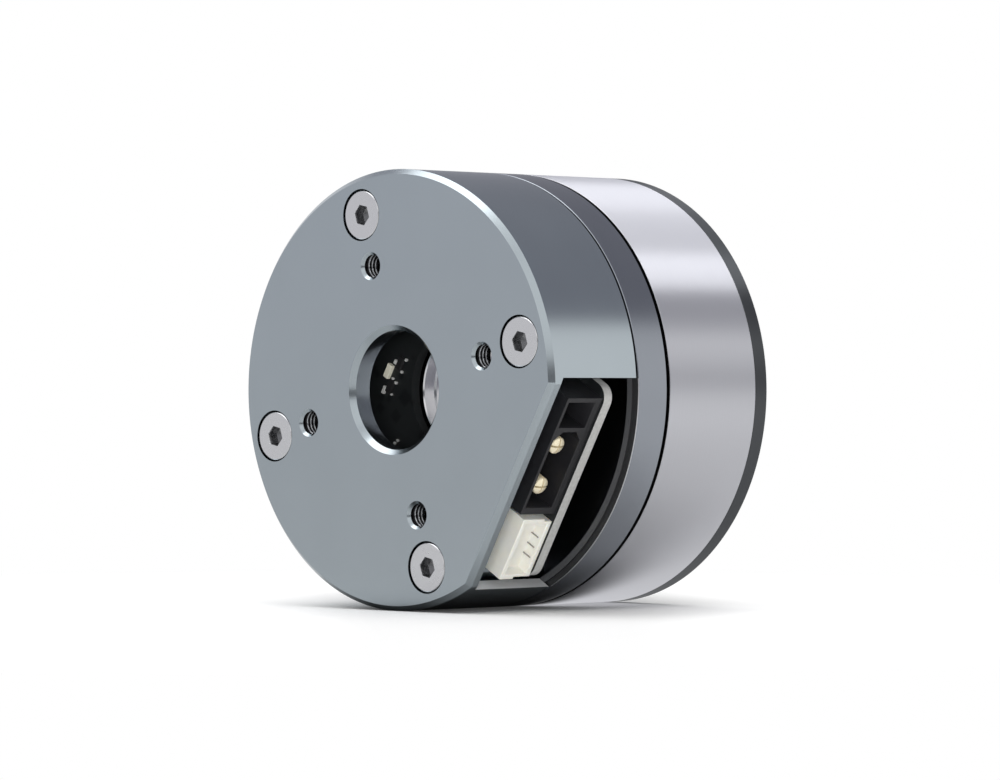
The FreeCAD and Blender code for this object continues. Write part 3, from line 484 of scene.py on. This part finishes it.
# Stator core and windings: a stack of coated steel sheets on the tube, with a coil of enamelled
# copper wire round each tooth and three leads through the base to the board.
def layered(name, colour, metallic, roughness, radial, pitch, depth):
    """A surface of fine layers: rounded ridges one pitch apart along the axis or, if radial,
    outwards from it."""
    material, tree, bsdf, place = shader(name, metallic)
    if radial:
        along = from_axis(tree, place)
    else:
        along = node(tree, "SeparateXYZ", [(0, place)]).outputs["Y"]
    ridge = maths(tree, "PINGPONG", maths(tree, "DIVIDE", along, pitch * MM), 0.5)
    stain = noise(tree, place, 700.0, 3.0)
    tinted(tree, bsdf, colour, maths(tree, "ADD", ridge, stain), 0.45, 1.15)
    roughened(tree, bsdf, stain, roughness - 0.08, roughness + 0.08)
    bumped(tree, bsdf, ridge, 0.6, depth * MM)
    return material


dressed(layered("coated_laminations", (0.07, 0.075, 0.08), 0.3, 0.5, False, 0.35, 0.05),
        "stator_core")
dressed(layered("enamelled_copper", (0.62, 0.23, 0.09), 1.0, 0.32, True, 0.3, 0.12),
        "windings", "phase_leads")

# Hollow shaft: a bright turned aluminium tube through the whole motor, open at both ends for
# cables. Its front end stands just behind the board and has a shallow counterbore.
def make_hollow_shaft():
    """The tube's profile, with its ends bevelled and a groove for the retaining ring."""
    front, back = ends("hollow_shaft")
    ring_start, ring_end = ends("retaining_ring")
    slack = 0.01
    groove_start, groove_end = ring_start - slack, ring_end + slack
    outside, groove, bore, mouth, mouth_depth = 7.5, 7.1, 6.4, 6.6, 1.8
    front_bevel, back_bevel = 0.12, 0.15
    shaft = turned("shaft_tube", (
        (mouth + front_bevel, front), (outside - front_bevel, front),
        (outside, front + front_bevel), (outside, groove_start), (groove, groove_start),
        (groove, groove_end), (outside, groove_end), (outside, back), (bore + back_bevel, back),
        (bore, back - back_bevel), (bore, front + mouth_depth), (mouth, front + mouth_depth),
        (mouth, front + front_bevel),
    ))
    bright = ground_steel("shaft_bright_aluminium", (0.74, 0.74, 0.755), 0.15, 0.02)
    shaft.data.materials.append(bright)
    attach(shaft, "rotor")
    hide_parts("hollow_shaft")


make_hollow_shaft()

# Rings on the shaft: a wave washer that preloads the bearings, a spring-steel retaining ring in its
# groove, and the ferrite ring magnet that the angle sensor on the board reads.
def speckled(name, colour, roughness, metallic=0.0, scale=1500.0, depth=6e-6, spread=0.25):
    """A matt moulded or pressed surface: small specks in tone, up or down by the spread, and a fine
    uneven skin."""
    material, tree, bsdf, place = shader(name, metallic)
    specks = noise(tree, place, scale, 4.0)
    tinted(tree, bsdf, colour, specks, 1 - spread, 1 + spread)
    roughened(tree, bsdf, specks, roughness - 0.07, roughness + 0.07)
    bumped(tree, bsdf, specks, 0.25, depth)
    return material


dressed(speckled("spring_steel", (0.22, 0.22, 0.23), 0.35, 1.0), "preload_washer", "retaining_ring")
dressed(speckled("ferrite_black", (0.045, 0.045, 0.05), 0.6), "encoder_magnet")

# Flux ring: the silver outside of the rotor, a steel tube, ground and nickel plated, with flat
# magnets glued inside. The grinding runs round the axis, so that lights smear along the axis and
# stay sharp round it.
def lathe_turned(material):
    """Makes a steel's highlights those of a turned surface."""
    tree = material.node_tree
    bsdf = tree.nodes["Principled BSDF"]
    round_axis = node(tree, "Tangent", direction_type="RADIAL", axis="Y")
    tree.links.new(round_axis.outputs[0], bsdf.inputs["Tangent"])
    bsdf.inputs["Anisotropic"].default_value = 1.0
    bsdf.inputs["Anisotropic Rotation"].default_value = 0.25
    return material


def make_flux_ring():
    """A plain tube with broken edges, bright outside, and dark inside and at the seam with
    painted shade.
    """
    front, back = ends("flux_ring")
    inside, front_edge, back_edge = 22.5, 0.05, 0.06
    ring = turned("rotor_shell", (
        (inside, front), (CASE_RADIUS - front_edge, front), (CASE_RADIUS, front + front_edge),
        (CASE_RADIUS, back - back_edge), (CASE_RADIUS - back_edge, back), (inside, back),
    ))
    nickel = lathe_turned(ground_steel("rotor_nickel", (0.63, 0.635, 0.675), 0.38))
    ring.data.materials.append(nickel)
    ring.data.materials.append(ground_steel("rotor_end_painted_shade", (0.03, 0.03, 0.032), 0.5))
    x, y, z = face_middles(ring)
    painted(ring, (y < front + 0.02) | (np.hypot(x, z) < inside + 0.5))
    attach(ring, "rotor")
    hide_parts("flux_ring")


make_flux_ring()
dressed(speckled("magnet_nickel_skin", (0.55, 0.55, 0.56), 0.28, 1.0), "rotor_magnets")

# End plate: the output disc, turned from aluminium and anodised dark. It closes the rotor, carries
# the shaft in its hub, and has four tapped holes for what the motor turns.
HOLE_RADIUS = 1.5
HOLE_PLACES = at(14.0, QUARTERS)


def threads(name, start, end):
    """Tapped M3 threads as thin sleeves in their holes. The inside swings between root and crest
    along a helix: the share of a pitch is the height in pitches less the share of a turn, and the
    ridge is highest at half of it. The ridge fades out over one pitch at both ends."""
    pitch, root, crest, skin = 0.5, 1.48, 0.26, 0.01
    steps, rows = 48, 12 * round((end - start) / pitch)
    height = np.linspace(start, end, rows)[:, None]
    turn = np.linspace(0, 1, steps, endpoint=False)[None, :]
    share = (height / pitch - turn) % 1.0
    ridge = np.clip(1.1 - 2.4 * np.abs(share - 0.5), 0, 1)
    fade = np.clip((height - start) / pitch, 0, 1) * np.clip((end - height) / pitch, 0, 1)
    inside = root - crest * ridge * fade
    reach = np.concatenate((inside, np.full((2, steps), root + skin)))
    level = np.repeat(np.concatenate((height, [[end], [start]])), steps, axis=1)
    return rings_about(name, reach, level, HOLE_PLACES, True, 60)


def turned_back(tree, place):
    """A place on the object, turned back to the window on +X."""
    return node(tree, "Mapping", [("Vector", place)], Rotation=(0, -POSE, 0)).outputs[0]


def thread_painted_shade(name, colour):
    """Thread flanks with painted shade, dark at the root and bright at the crest, by the distance
    from the nearest hole's own axis: turned back to the square layout, all four holes fold onto
    one."""
    material, tree, bsdf, place = shader(name, 1.0)
    folded = vectors(tree, "ABSOLUTE", turned_back(tree, place))
    hole_x, hole_z = HOLE_PLACES[0] * MM
    from_hole = vectors(tree, "SUBTRACT", folded, (hole_x, 0, hole_z))
    crest = mapped(tree, from_axis(tree, from_hole), 1.34 * MM, 1.23 * MM)
    # Painted shade: near black at the thread roots, full tone at the crests.
    tinted(tree, bsdf, colour, crest, 0.02, 1.0)
    roughened(tree, bsdf, noise(tree, place, 3000.0, 2.0), 0.18, 0.34)
    return material


def make_end_plate():
    """The disc with its spigot and hub, drilled and bevelled at the holes' mouths, and the threads
    in them."""
    rim_start = ends("flux_ring")[1]
    hub_start = ends("rear_bearing_inner")[1]
    back = ends("end_plate")[1]
    web = back - 2.4
    spigot_start = rim_start - 1.5
    bore, hub, spigot_inside, spigot = 7.52, 8.6, 20.88, 22.48
    front_edge, back_edge, bore_edge = 0.06, 0.1, 0.08
    plate = turned("output_disc", (
        (bore, hub_start), (hub, hub_start), (hub, web), (spigot_inside, web),
        (spigot_inside, spigot_start), (spigot, spigot_start), (spigot, rim_start),
        (CASE_RADIUS - front_edge, rim_start), (CASE_RADIUS, rim_start + front_edge),
        (CASE_RADIUS, back - back_edge), (CASE_RADIUS - back_edge, back),
        (bore + bore_edge, back), (bore, back - bore_edge),
    ))
    mouth, past = 0.15, 0.5
    machined(plate, turned("output_holes", (
        (0, web - past), (HOLE_RADIUS, web - past), (HOLE_RADIUS, back - mouth),
        (HOLE_RADIUS + mouth + past, back + past), (0, back + past),
    ), 64, HOLE_PLACES))
    dark = lathe_turned(ground_steel("end_anodised", (0.098, 0.103, 0.11), 0.40))
    plate.data.materials.append(dark)
    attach(plate, "rotor")
    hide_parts("end_plate")
    sleeves = threads("output_threads", web, back - mouth)
    sleeves.data.materials.append(thread_painted_shade("output_thread_anodised", (0.3, 0.31, 0.33)))
    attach(sleeves, "rotor")


make_end_plate()

# Driver board: a round board of glass fibre with one straight edge at the window, black solder mask
# on both faces and the pale fibre showing at its cut edges. It is screwed to the standoffs.
BOARD_FRONT = ends("driver_board")[0]


def two_tone(tree, number, first, second, low=0.0, high=1.0):
    """A colour that runs from the first to the second while the number runs from low to high."""
    ramp = node(tree, "ValToRGB", [(0, number)])
    for stop, place, colour in zip(ramp.color_ramp.elements, (low, high), (first, second)):
        stop.position = place
        stop.color = (*colour, 1)
    return ramp.outputs[0]


def board_laminate():
    """Mask where the surface faces along the axis, and the mask's dark tone round the centre hole
    as painted shade; fibre at the outer edge. The fibre is uneven, and the mask has faint copper
    runs under it and a slight orange-peel skin."""
    material, tree, bsdf, place = shader("board_laminate")
    facing = node(tree, "SeparateXYZ", [(0, node(tree, "TexCoord").outputs["Normal"])])
    face = maths(tree, "GREATER_THAN", maths(tree, "ABSOLUTE", facing.outputs["Y"]), 0.5)
    # Painted shade: the wall of the centre hole takes the mask's dark colour.
    hole_wall_painted_shade = maths(tree, "LESS_THAN", from_axis(tree, place), 9.0 * MM)
    mask_and_hole_shade = maths(tree, "MAXIMUM", face, hole_wall_painted_shade)
    strands = noise(tree, place, 2600.0, 2.0)
    fibre = two_tone(tree, strands, (0.34, 0.34, 0.33), (0.56, 0.56, 0.545))
    runs = node(tree, "TexVoronoi", [("Vector", place)], Scale=420.0, distance="MANHATTAN")
    copper = two_tone(tree, runs.outputs["Distance"], (0.010, 0.011, 0.012),
                      (0.016, 0.018, 0.019), 0.45, 0.5)
    colour = node(tree, "MixRGB", [(0, mask_and_hole_shade), (1, fibre), (2, copper)])
    tree.links.new(colour.outputs[0], bsdf.inputs["Base Color"])
    roughened(tree, bsdf, face, 0.75, 0.42)
    bumped(tree, bsdf, strands, 0.2, 8e-6)
    return material


def merged_copy(name, source):
    """A copy of a CAD node's mesh with its triangles joined into whole faces."""
    mesh = nodes[source].data.copy()
    mesh.name = name
    mesh.materials.clear()
    piece = bpy.data.objects.new(name, mesh)
    scene.collection.objects.link(piece)
    shape = bmesh.new()
    shape.from_mesh(mesh)
    bmesh.ops.remove_doubles(shape, verts=shape.verts, dist=2e-6)
    bmesh.ops.dissolve_limit(shape, angle_limit=math.radians(1), verts=shape.verts,
                             edges=shape.edges)
    shape.to_mesh(mesh)
    shape.free()
    mesh.shade_smooth()
    mesh.set_sharp_from_angle(angle=math.radians(30))
    return piece


def blocks(name, boxes, edge=0.04):
    """Boxes with bevelled edges, each from (x, y, z) of its middle and its three sides. Round a box
    goes a ring of eight points, a rectangle with its corners cut, and four such rings along Y draw
    in at both ends."""
    boxes = np.asarray(boxes, dtype=float)
    middle = boxes[:, :3, None, None]
    half = boxes[:, 3:, None, None] / 2
    side_x, cut_x = np.array([1, 1, 1, -1, -1, -1, -1, 1]), np.array([0, 0, 1, 1, 0, 0, 1, 1])
    side_z, cut_z = np.array([-1, 1, 1, 1, 1, -1, -1, -1]), np.array([1, 1, 0, 0, 1, 1, 0, 0])
    end = np.array([-1, -1, 1, 1])[:, None]
    lip, waist = np.array([1, 0, 0, 1])[:, None], np.array([0, 1, 1, 0])[:, None]
    points = np.stack((
        middle[:, 0] + side_x * (half[:, 0] - edge * (lip + 0.7 * cut_x)),
        middle[:, 1] + end * (half[:, 1] - edge * waist) + 0 * side_x,
        middle[:, 2] + side_z * (half[:, 2] - edge * (lip + 0.7 * cut_z)),
    ), axis=-1)
    faces = []
    for first in range(0, 32 * len(boxes), 32):
        faces += grid_faces(4, 8, False, first)
        faces += [tuple(range(first, first + 8)), tuple(range(first + 24, first + 32))]
    return piece_from(name, posed(points), faces, 20)


def make_driver_board():
    """The board with the straight edge's upper side cut on inwards, past the disc's round edge."""
    board = merged_copy("board_disc", "driver_board")
    machined(board, blocks("side_cut", [(18.5, BOARD_FRONT, 13.2, 9.0, 6.0, 3.5)], 0.01))
    board.data.materials.append(board_laminate())
    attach(board, "stator")
    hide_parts("driver_board")


make_driver_board()
dressed(speckled("screw_zinc", (0.55, 0.55, 0.54), 0.3, 1.0), "board_screws")

# Chips on the board: moulded black packages, tan ceramic capacitors with tinned ends, and by the
# centre hole two small transistors and a cream capacitor that show through the bore of the cover.
def capacitor_ceramic():
    """Tan ceramic between tinned ends: the distance from the row's middle says which."""
    material, tree, bsdf, place = shader("capacitor_ceramic")
    row_middle, ceramic_half = 7.6 * MM, 1.1 * MM
    along = node(tree, "SeparateXYZ", [(0, turned_back(tree, place))]).outputs["X"]
    off_middle = maths(tree, "ABSOLUTE", maths(tree, "SUBTRACT", along, row_middle))
    tinned = maths(tree, "GREATER_THAN", off_middle, ceramic_half)
    specks = noise(tree, place, 3000.0, 2.0)
    ceramic = two_tone(tree, specks, (0.30, 0.20, 0.11), (0.44, 0.31, 0.18))
    colour = node(tree, "MixRGB", [(0, tinned), (1, ceramic)], Color2=(0.62, 0.62, 0.60, 1))
    tree.links.new(colour.outputs[0], bsdf.inputs["Base Color"])
    tree.links.new(tinned, bsdf.inputs["Metallic"])
    bumped(tree, bsdf, specks, 0.2, 5e-6)
    return material


def make_board_parts():
    """Small packages on the board's front, each box standing on it."""
    def standing(x, z, wide, high, deep):
        return x, BOARD_FRONT - high / 2, z, wide, high, deep

    bodies = blocks("transistor_bodies", [
        standing(-8.9, -1.75, 0.85, 0.4, 1.6), standing(-9.0, -4.75, 0.85, 0.4, 1.6),
    ], 0.06)
    bodies.data.materials.append(speckled("transistor_plastic", (0.02, 0.02, 0.021), 0.45))
    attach(bodies, "stator")
    legs = blocks("transistor_legs", [
        standing(-8.3, -0.95, 0.28, 0.35, 0.28), standing(-8.25, -2.45, 0.26, 0.35, 0.26),
        standing(-9.6, -1.95, 0.45, 0.35, 0.5), standing(-8.45, -3.95, 0.28, 0.35, 0.3),
        standing(-9.15, -3.8, 0.25, 0.3, 0.22), standing(-9.68, -5.55, 0.38, 0.4, 0.9),
        standing(-8.45, -5.45, 0.2, 0.3, 0.2), standing(-5.3, -9.9, 0.28, 0.3, 0.28),
        standing(-5.05, -9.4, 0.28, 0.3, 0.24),
    ])
    legs.data.materials.append(speckled("leg_tin", (0.88, 0.88, 0.86), 0.3, 0.35, spread=0.06))
    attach(legs, "stator")
    capacitor = blocks("cream_capacitor", [standing(-10.05, -3.35, 0.75, 0.5, 1.65)], 0.03)
    capacitor.data.materials.append(speckled("cream_ceramic", (0.92, 0.89, 0.74), 0.4, spread=0.06))
    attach(capacitor, "stator")


dressed(speckled("package_plastic", (0.022, 0.022, 0.024), 0.5),
        "bridge_chips", "controller_chip", "angle_sensor")
dressed(capacitor_ceramic(), "board_capacitors")
make_board_parts()

# Power socket: a moulded black housing soldered to the board, with a D-shaped cavity for two round
# power pins and a square one for two signal pins. Its face stands just behind the flat.
PIN_Y = 6.5
PIN_PLACES = (4.075, -0.925)


def broken_edges(piece, width=0.07, angle=35):
    """A small rounded bevel on a piece's sharp edges."""
    bevel = piece.modifiers.new("broken_edges", "BEVEL")
    bevel.width = width * MM
    bevel.segments = 2
    bevel.limit_method = "ANGLE"
    bevel.angle_limit = math.radians(angle)
    bevel.harden_normals = True


def make_power_socket():
    """The housing, and the pins: lathe rods lying along X with a domed tip, slit crosswise, each
    with a leg."""
    housing = merged_copy("power_housing", "power_connector")
    broken_edges(housing, 0.06)
    black = speckled("housing_black", (0.014, 0.014, 0.016), 0.38, 0.0, 2500.0)
    housing.data.materials.append(black)
    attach(housing, "stator")
    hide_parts("power_connector")
    steps = 48
    radius, dome, edge, back, dome_start = 1.0, 0.35, 0.05, 9.9, 18.9
    bend = np.radians(np.linspace(90, 0, 9))
    along = np.concatenate((dome_start + dome * np.sin(bend), [back + edge, back, back]))[:, None]
    reach = np.concatenate((radius * np.cos(bend), [radius, radius - edge, 0.0]))[:, None]
    angle = np.linspace(0, 2 * math.pi, steps, endpoint=False)[None, :]
    rows = np.stack((along + 0 * angle, PIN_Y + reach * np.cos(angle), reach * np.sin(angle)),
                    axis=-1)
    points = np.stack([rows + (0, 0, z) for z in PIN_PLACES])
    faces = grid_faces(len(along), steps) + grid_faces(len(along), steps, False, len(along) * steps)
    pins = piece_from("power_pin_pair", posed(points), faces)
    leg, leg_x = 0.7, 10.6
    legs = rod("legs", leg, PIN_Y, BOARD_FRONT, [(leg_x, z) for z in PIN_PLACES])
    machined(pins, legs, "UNION")
    slit_x, length, across, width = 18.3, 3.2, 2.4, 0.2
    for name, sides in (("long_slits", (across, width)), ("cross_slits", (width, across))):
        slits = [(slit_x, PIN_Y, z, length, *sides) for z in PIN_PLACES]
        machined(pins, blocks(name, slits, 0.01))
    gold = speckled("pin_gold", (1.0, 0.90, 0.66), 0.3, 0.4, 2500.0, 2e-6, 0.04)
    pins.data.materials.append(gold)
    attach(pins, "stator")
    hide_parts("power_pins")


make_power_socket()
dressed(speckled("signal_gold", (0.55, 0.43, 0.22), 0.3, 1.0, 2500.0, 2e-6), "signal_pins")

# Serial socket: a small moulded white housing beside it, of nylon that lets a little light through.
# Three thin tinned contacts lie along its board side and stand on the board behind it.
SERIAL_MIDDLE = -8.35
SERIAL_PITCH = 1.25


def make_serial_socket():
    """The white housing with its floor and rounded edges, and the contacts: a blade and a foot
    each."""
    housing = merged_copy("serial_housing", "serial_connector")
    floor = (17.6, BOARD_FRONT - 2.225, SERIAL_MIDDLE, 1.6, 3.35, 6.4)
    machined(housing, blocks("socket_floor", [floor], 0.01), "UNION")
    broken_edges(housing, 0.08)
    nylon = speckled("housing_white", (0.83, 0.82, 0.76), 0.42, 0.0, 1800.0, 3e-6, 0.04)
    bsdf = nylon.node_tree.nodes["Principled BSDF"]
    bsdf.inputs["Subsurface Weight"].default_value = 0.6
    bsdf.inputs["Subsurface Radius"].default_value = (0.0015, 0.0013, 0.001)
    housing.data.materials.append(nylon)
    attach(housing, "stator")
    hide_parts("serial_connector")
    places = SERIAL_MIDDLE + SERIAL_PITCH * np.array([-1, 0, 1])
    blades = [(17.2, BOARD_FRONT - 0.72, z, 4.7, 0.14, 0.12) for z in places]
    feet = [(15.0, BOARD_FRONT - 0.4, z, 0.4, 0.8, 0.32) for z in places]
    contacts = blocks("contact_blades", blades + feet, 0.02)
    # The tin is darkened to a grey that also stands in for the shade in the slots beside the
    # contacts.
    tin = speckled("contact_tin_painted_shade", (0.32, 0.31, 0.29), 0.4, 0.5, 2500.0, 2e-6, 0.1)
    contacts.data.materials.append(tin)
    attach(contacts, "stator")
    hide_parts("serial_contacts")


make_serial_socket()

# Rear cover: a cup turned from aluminium, blasted and anodised grey. Its front is the mounting
# face, with four tapped holes, and over the sockets it is milled flat and open, which leaves duller
# cut faces at the window's ends.
PLATE = 2.6
FLAT = 20.48
LIP = 1.75
RIM_BEVEL = 0.55


def milled(name, outline, low, high):
    """A milling tool: an outline of (x, y) drawn out along Z."""
    count = len(outline)
    caps = np.stack([np.column_stack((outline, np.full(count, z))) for z in (low, high)])
    faces = grid_faces(2, count) + [tuple(range(count)), tuple(range(count, 2 * count))]
    return piece_from(name, posed(caps), faces)


def make_rear_cover():
    """The turned cup, with pillars joined on, holes drilled, and the window and the flat milled.
    The flat has the rim's bevel along its front and a small one towards the window."""
    seam = ends("rear_cover")[1]
    inside = CASE_RADIUS - WALL
    bore, seam_edge = 6.5, 0.06
    cover = turned("cover_cup", (
        (bore + RIM_BEVEL, 0.0), (bore, RIM_BEVEL), (bore, PLATE), (inside, PLATE), (inside, seam),
        (CASE_RADIUS - seam_edge, seam), (CASE_RADIUS, seam - seam_edge), (CASE_RADIUS, RIM_BEVEL),
        (CASE_RADIUS - RIM_BEVEL, 0.0),
    ))
    machined(cover, rod("pillars", PILLAR, PLATE / 2, seam, SCREW_PLACES), "UNION")
    past, mouth, cone, drill_end = 0.5, 1.54, 0.3, 3.5
    machined(cover, turned("mount_drills", (
        (0, -past), (mouth + past, -past), (mouth - cone, cone), (HOLE_RADIUS, cone + 0.005),
        (HOLE_RADIUS, drill_end), (0, drill_end),
    ), 64, HOLE_PLACES))
    sink, sink_depth, clear_hole, clear_end = 2.85, 0.5, 1.7, 14.0
    machined(cover, turned("screw_sinks", (
        (0, -past), (sink, -past), (sink, sink_depth), (clear_hole, sink_depth + sink - clear_hole),
        (clear_hole, clear_end), (0, clear_end),
    ), 64, SCREW_PLACES))
    window_floor, lip_bevel, lip_cut, outside = 16.97, 0.35, 0.2, 30.0
    window = ((window_floor, LIP), (outside, LIP), (outside, seam + 1), (window_floor, seam + 1))
    machined(cover, milled("window_cutter", window, -WINDOW_HALF, WINDOW_HALF))
    flat = ((outside, -1), (FLAT - RIM_BEVEL - 1, -1), (FLAT, RIM_BEVEL), (FLAT, LIP - lip_bevel),
            (FLAT - lip_bevel, LIP), (FLAT - lip_bevel, LIP + lip_cut), (outside, LIP + lip_cut))
    machined(cover, milled("flat_cutter", flat, -outside, outside))
    cover.data.materials.append(anodised("cover_anodised", (0.417, 0.467, 0.498), 0.2))
    cover.data.materials.append(anodised("cut_aluminium", (0.62, 0.63, 0.64), 0.5, 0.3))
    across_window = face_middles(cover)[2]
    painted(cover, np.abs(np.abs(across_window) - WINDOW_HALF) < 0.005)
    broken_edges(cover)
    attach(cover, "stator")
    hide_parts("rear_cover")
    sleeves = threads("mount_threads", cone + 0.01, PLATE + 0.25)
    sleeves.data.materials.append(thread_painted_shade("mount_thread_anodised", (0.62, 0.64, 0.67)))
    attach(sleeves, "stator")


make_rear_cover()

# Cover screws: countersunk M3 screws of stainless steel with a hex socket, which hold the cover to
# the stator base. Each head sits just below the mounting face in its sink.
def screw_stainless():
    """Satin steel, clouded a little, that is dull and dark down in the hex socket, by the depth
    below the head: painted shade."""
    material, tree, bsdf, place = shader("screw_stainless", 1.0)
    depth = node(tree, "SeparateXYZ", [(0, place)]).outputs["Y"]
    stain = noise(tree, place, 900.0, 3.0)
    # Painted shade: the tone falls to half down in the socket.
    deep = mapped(tree, depth, 0.15 * MM, 0.5 * MM, 0.97, 0.5)
    clouds_and_socket_shade = maths(tree, "MULTIPLY_ADD", stain, 0.06, deep)
    tinted(tree, bsdf, (0.69, 0.695, 0.71), clouds_and_socket_shade, 0.0, 1.0)
    roughened(tree, bsdf, stain, 0.24, 0.3)
    return material


def make_cover_screws():
    """Rings round each screw's axis, from the socket's floor over the head to the tip. The socket's
    rings take their reach from a hexagon, half its flats over the cosine of the angle from the
    nearest flat, and the others from circles."""
    steps = 96
    angle = np.linspace(0, 2 * math.pi, steps, endpoint=False)
    socket_turn = math.radians(-12)
    hexagon = 0.5 / np.cos((angle - socket_turn + math.pi / 6) % (math.pi / 3) - math.pi / 6)
    circle = np.ones(steps)
    head, tip = ends("cover_screws")
    flats, floor, drill_cone = 1.9, 1.3, 0.25
    head_radius, head_rim, shank, shank_start, tip_bevel = 2.65, 0.25, 1.5, 1.5, 0.3
    rings = (
        (0.0, hexagon, floor + drill_cone), (flats, hexagon, floor),
        (flats + 0.1, hexagon, head + 0.08), (flats + 0.18, hexagon, head),
        (head_radius - 0.08, circle, head), (head_radius, circle, head + 0.06),
        (head_radius, circle, head + head_rim), (shank, circle, shank_start),
        (shank, circle, tip - tip_bevel), (shank - tip_bevel, circle, tip), (0.0, circle, tip),
    )
    reach = np.stack([wide * shape for wide, shape, level in rings])
    level = np.repeat([[level] for wide, shape, level in rings], steps, axis=1)
    screws = rings_about("cover_screw_set", reach, level, SCREW_PLACES, False)
    screws.data.materials.append(screw_stainless())
    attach(screws, "stator")
    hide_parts("cover_screws")


make_cover_screws()
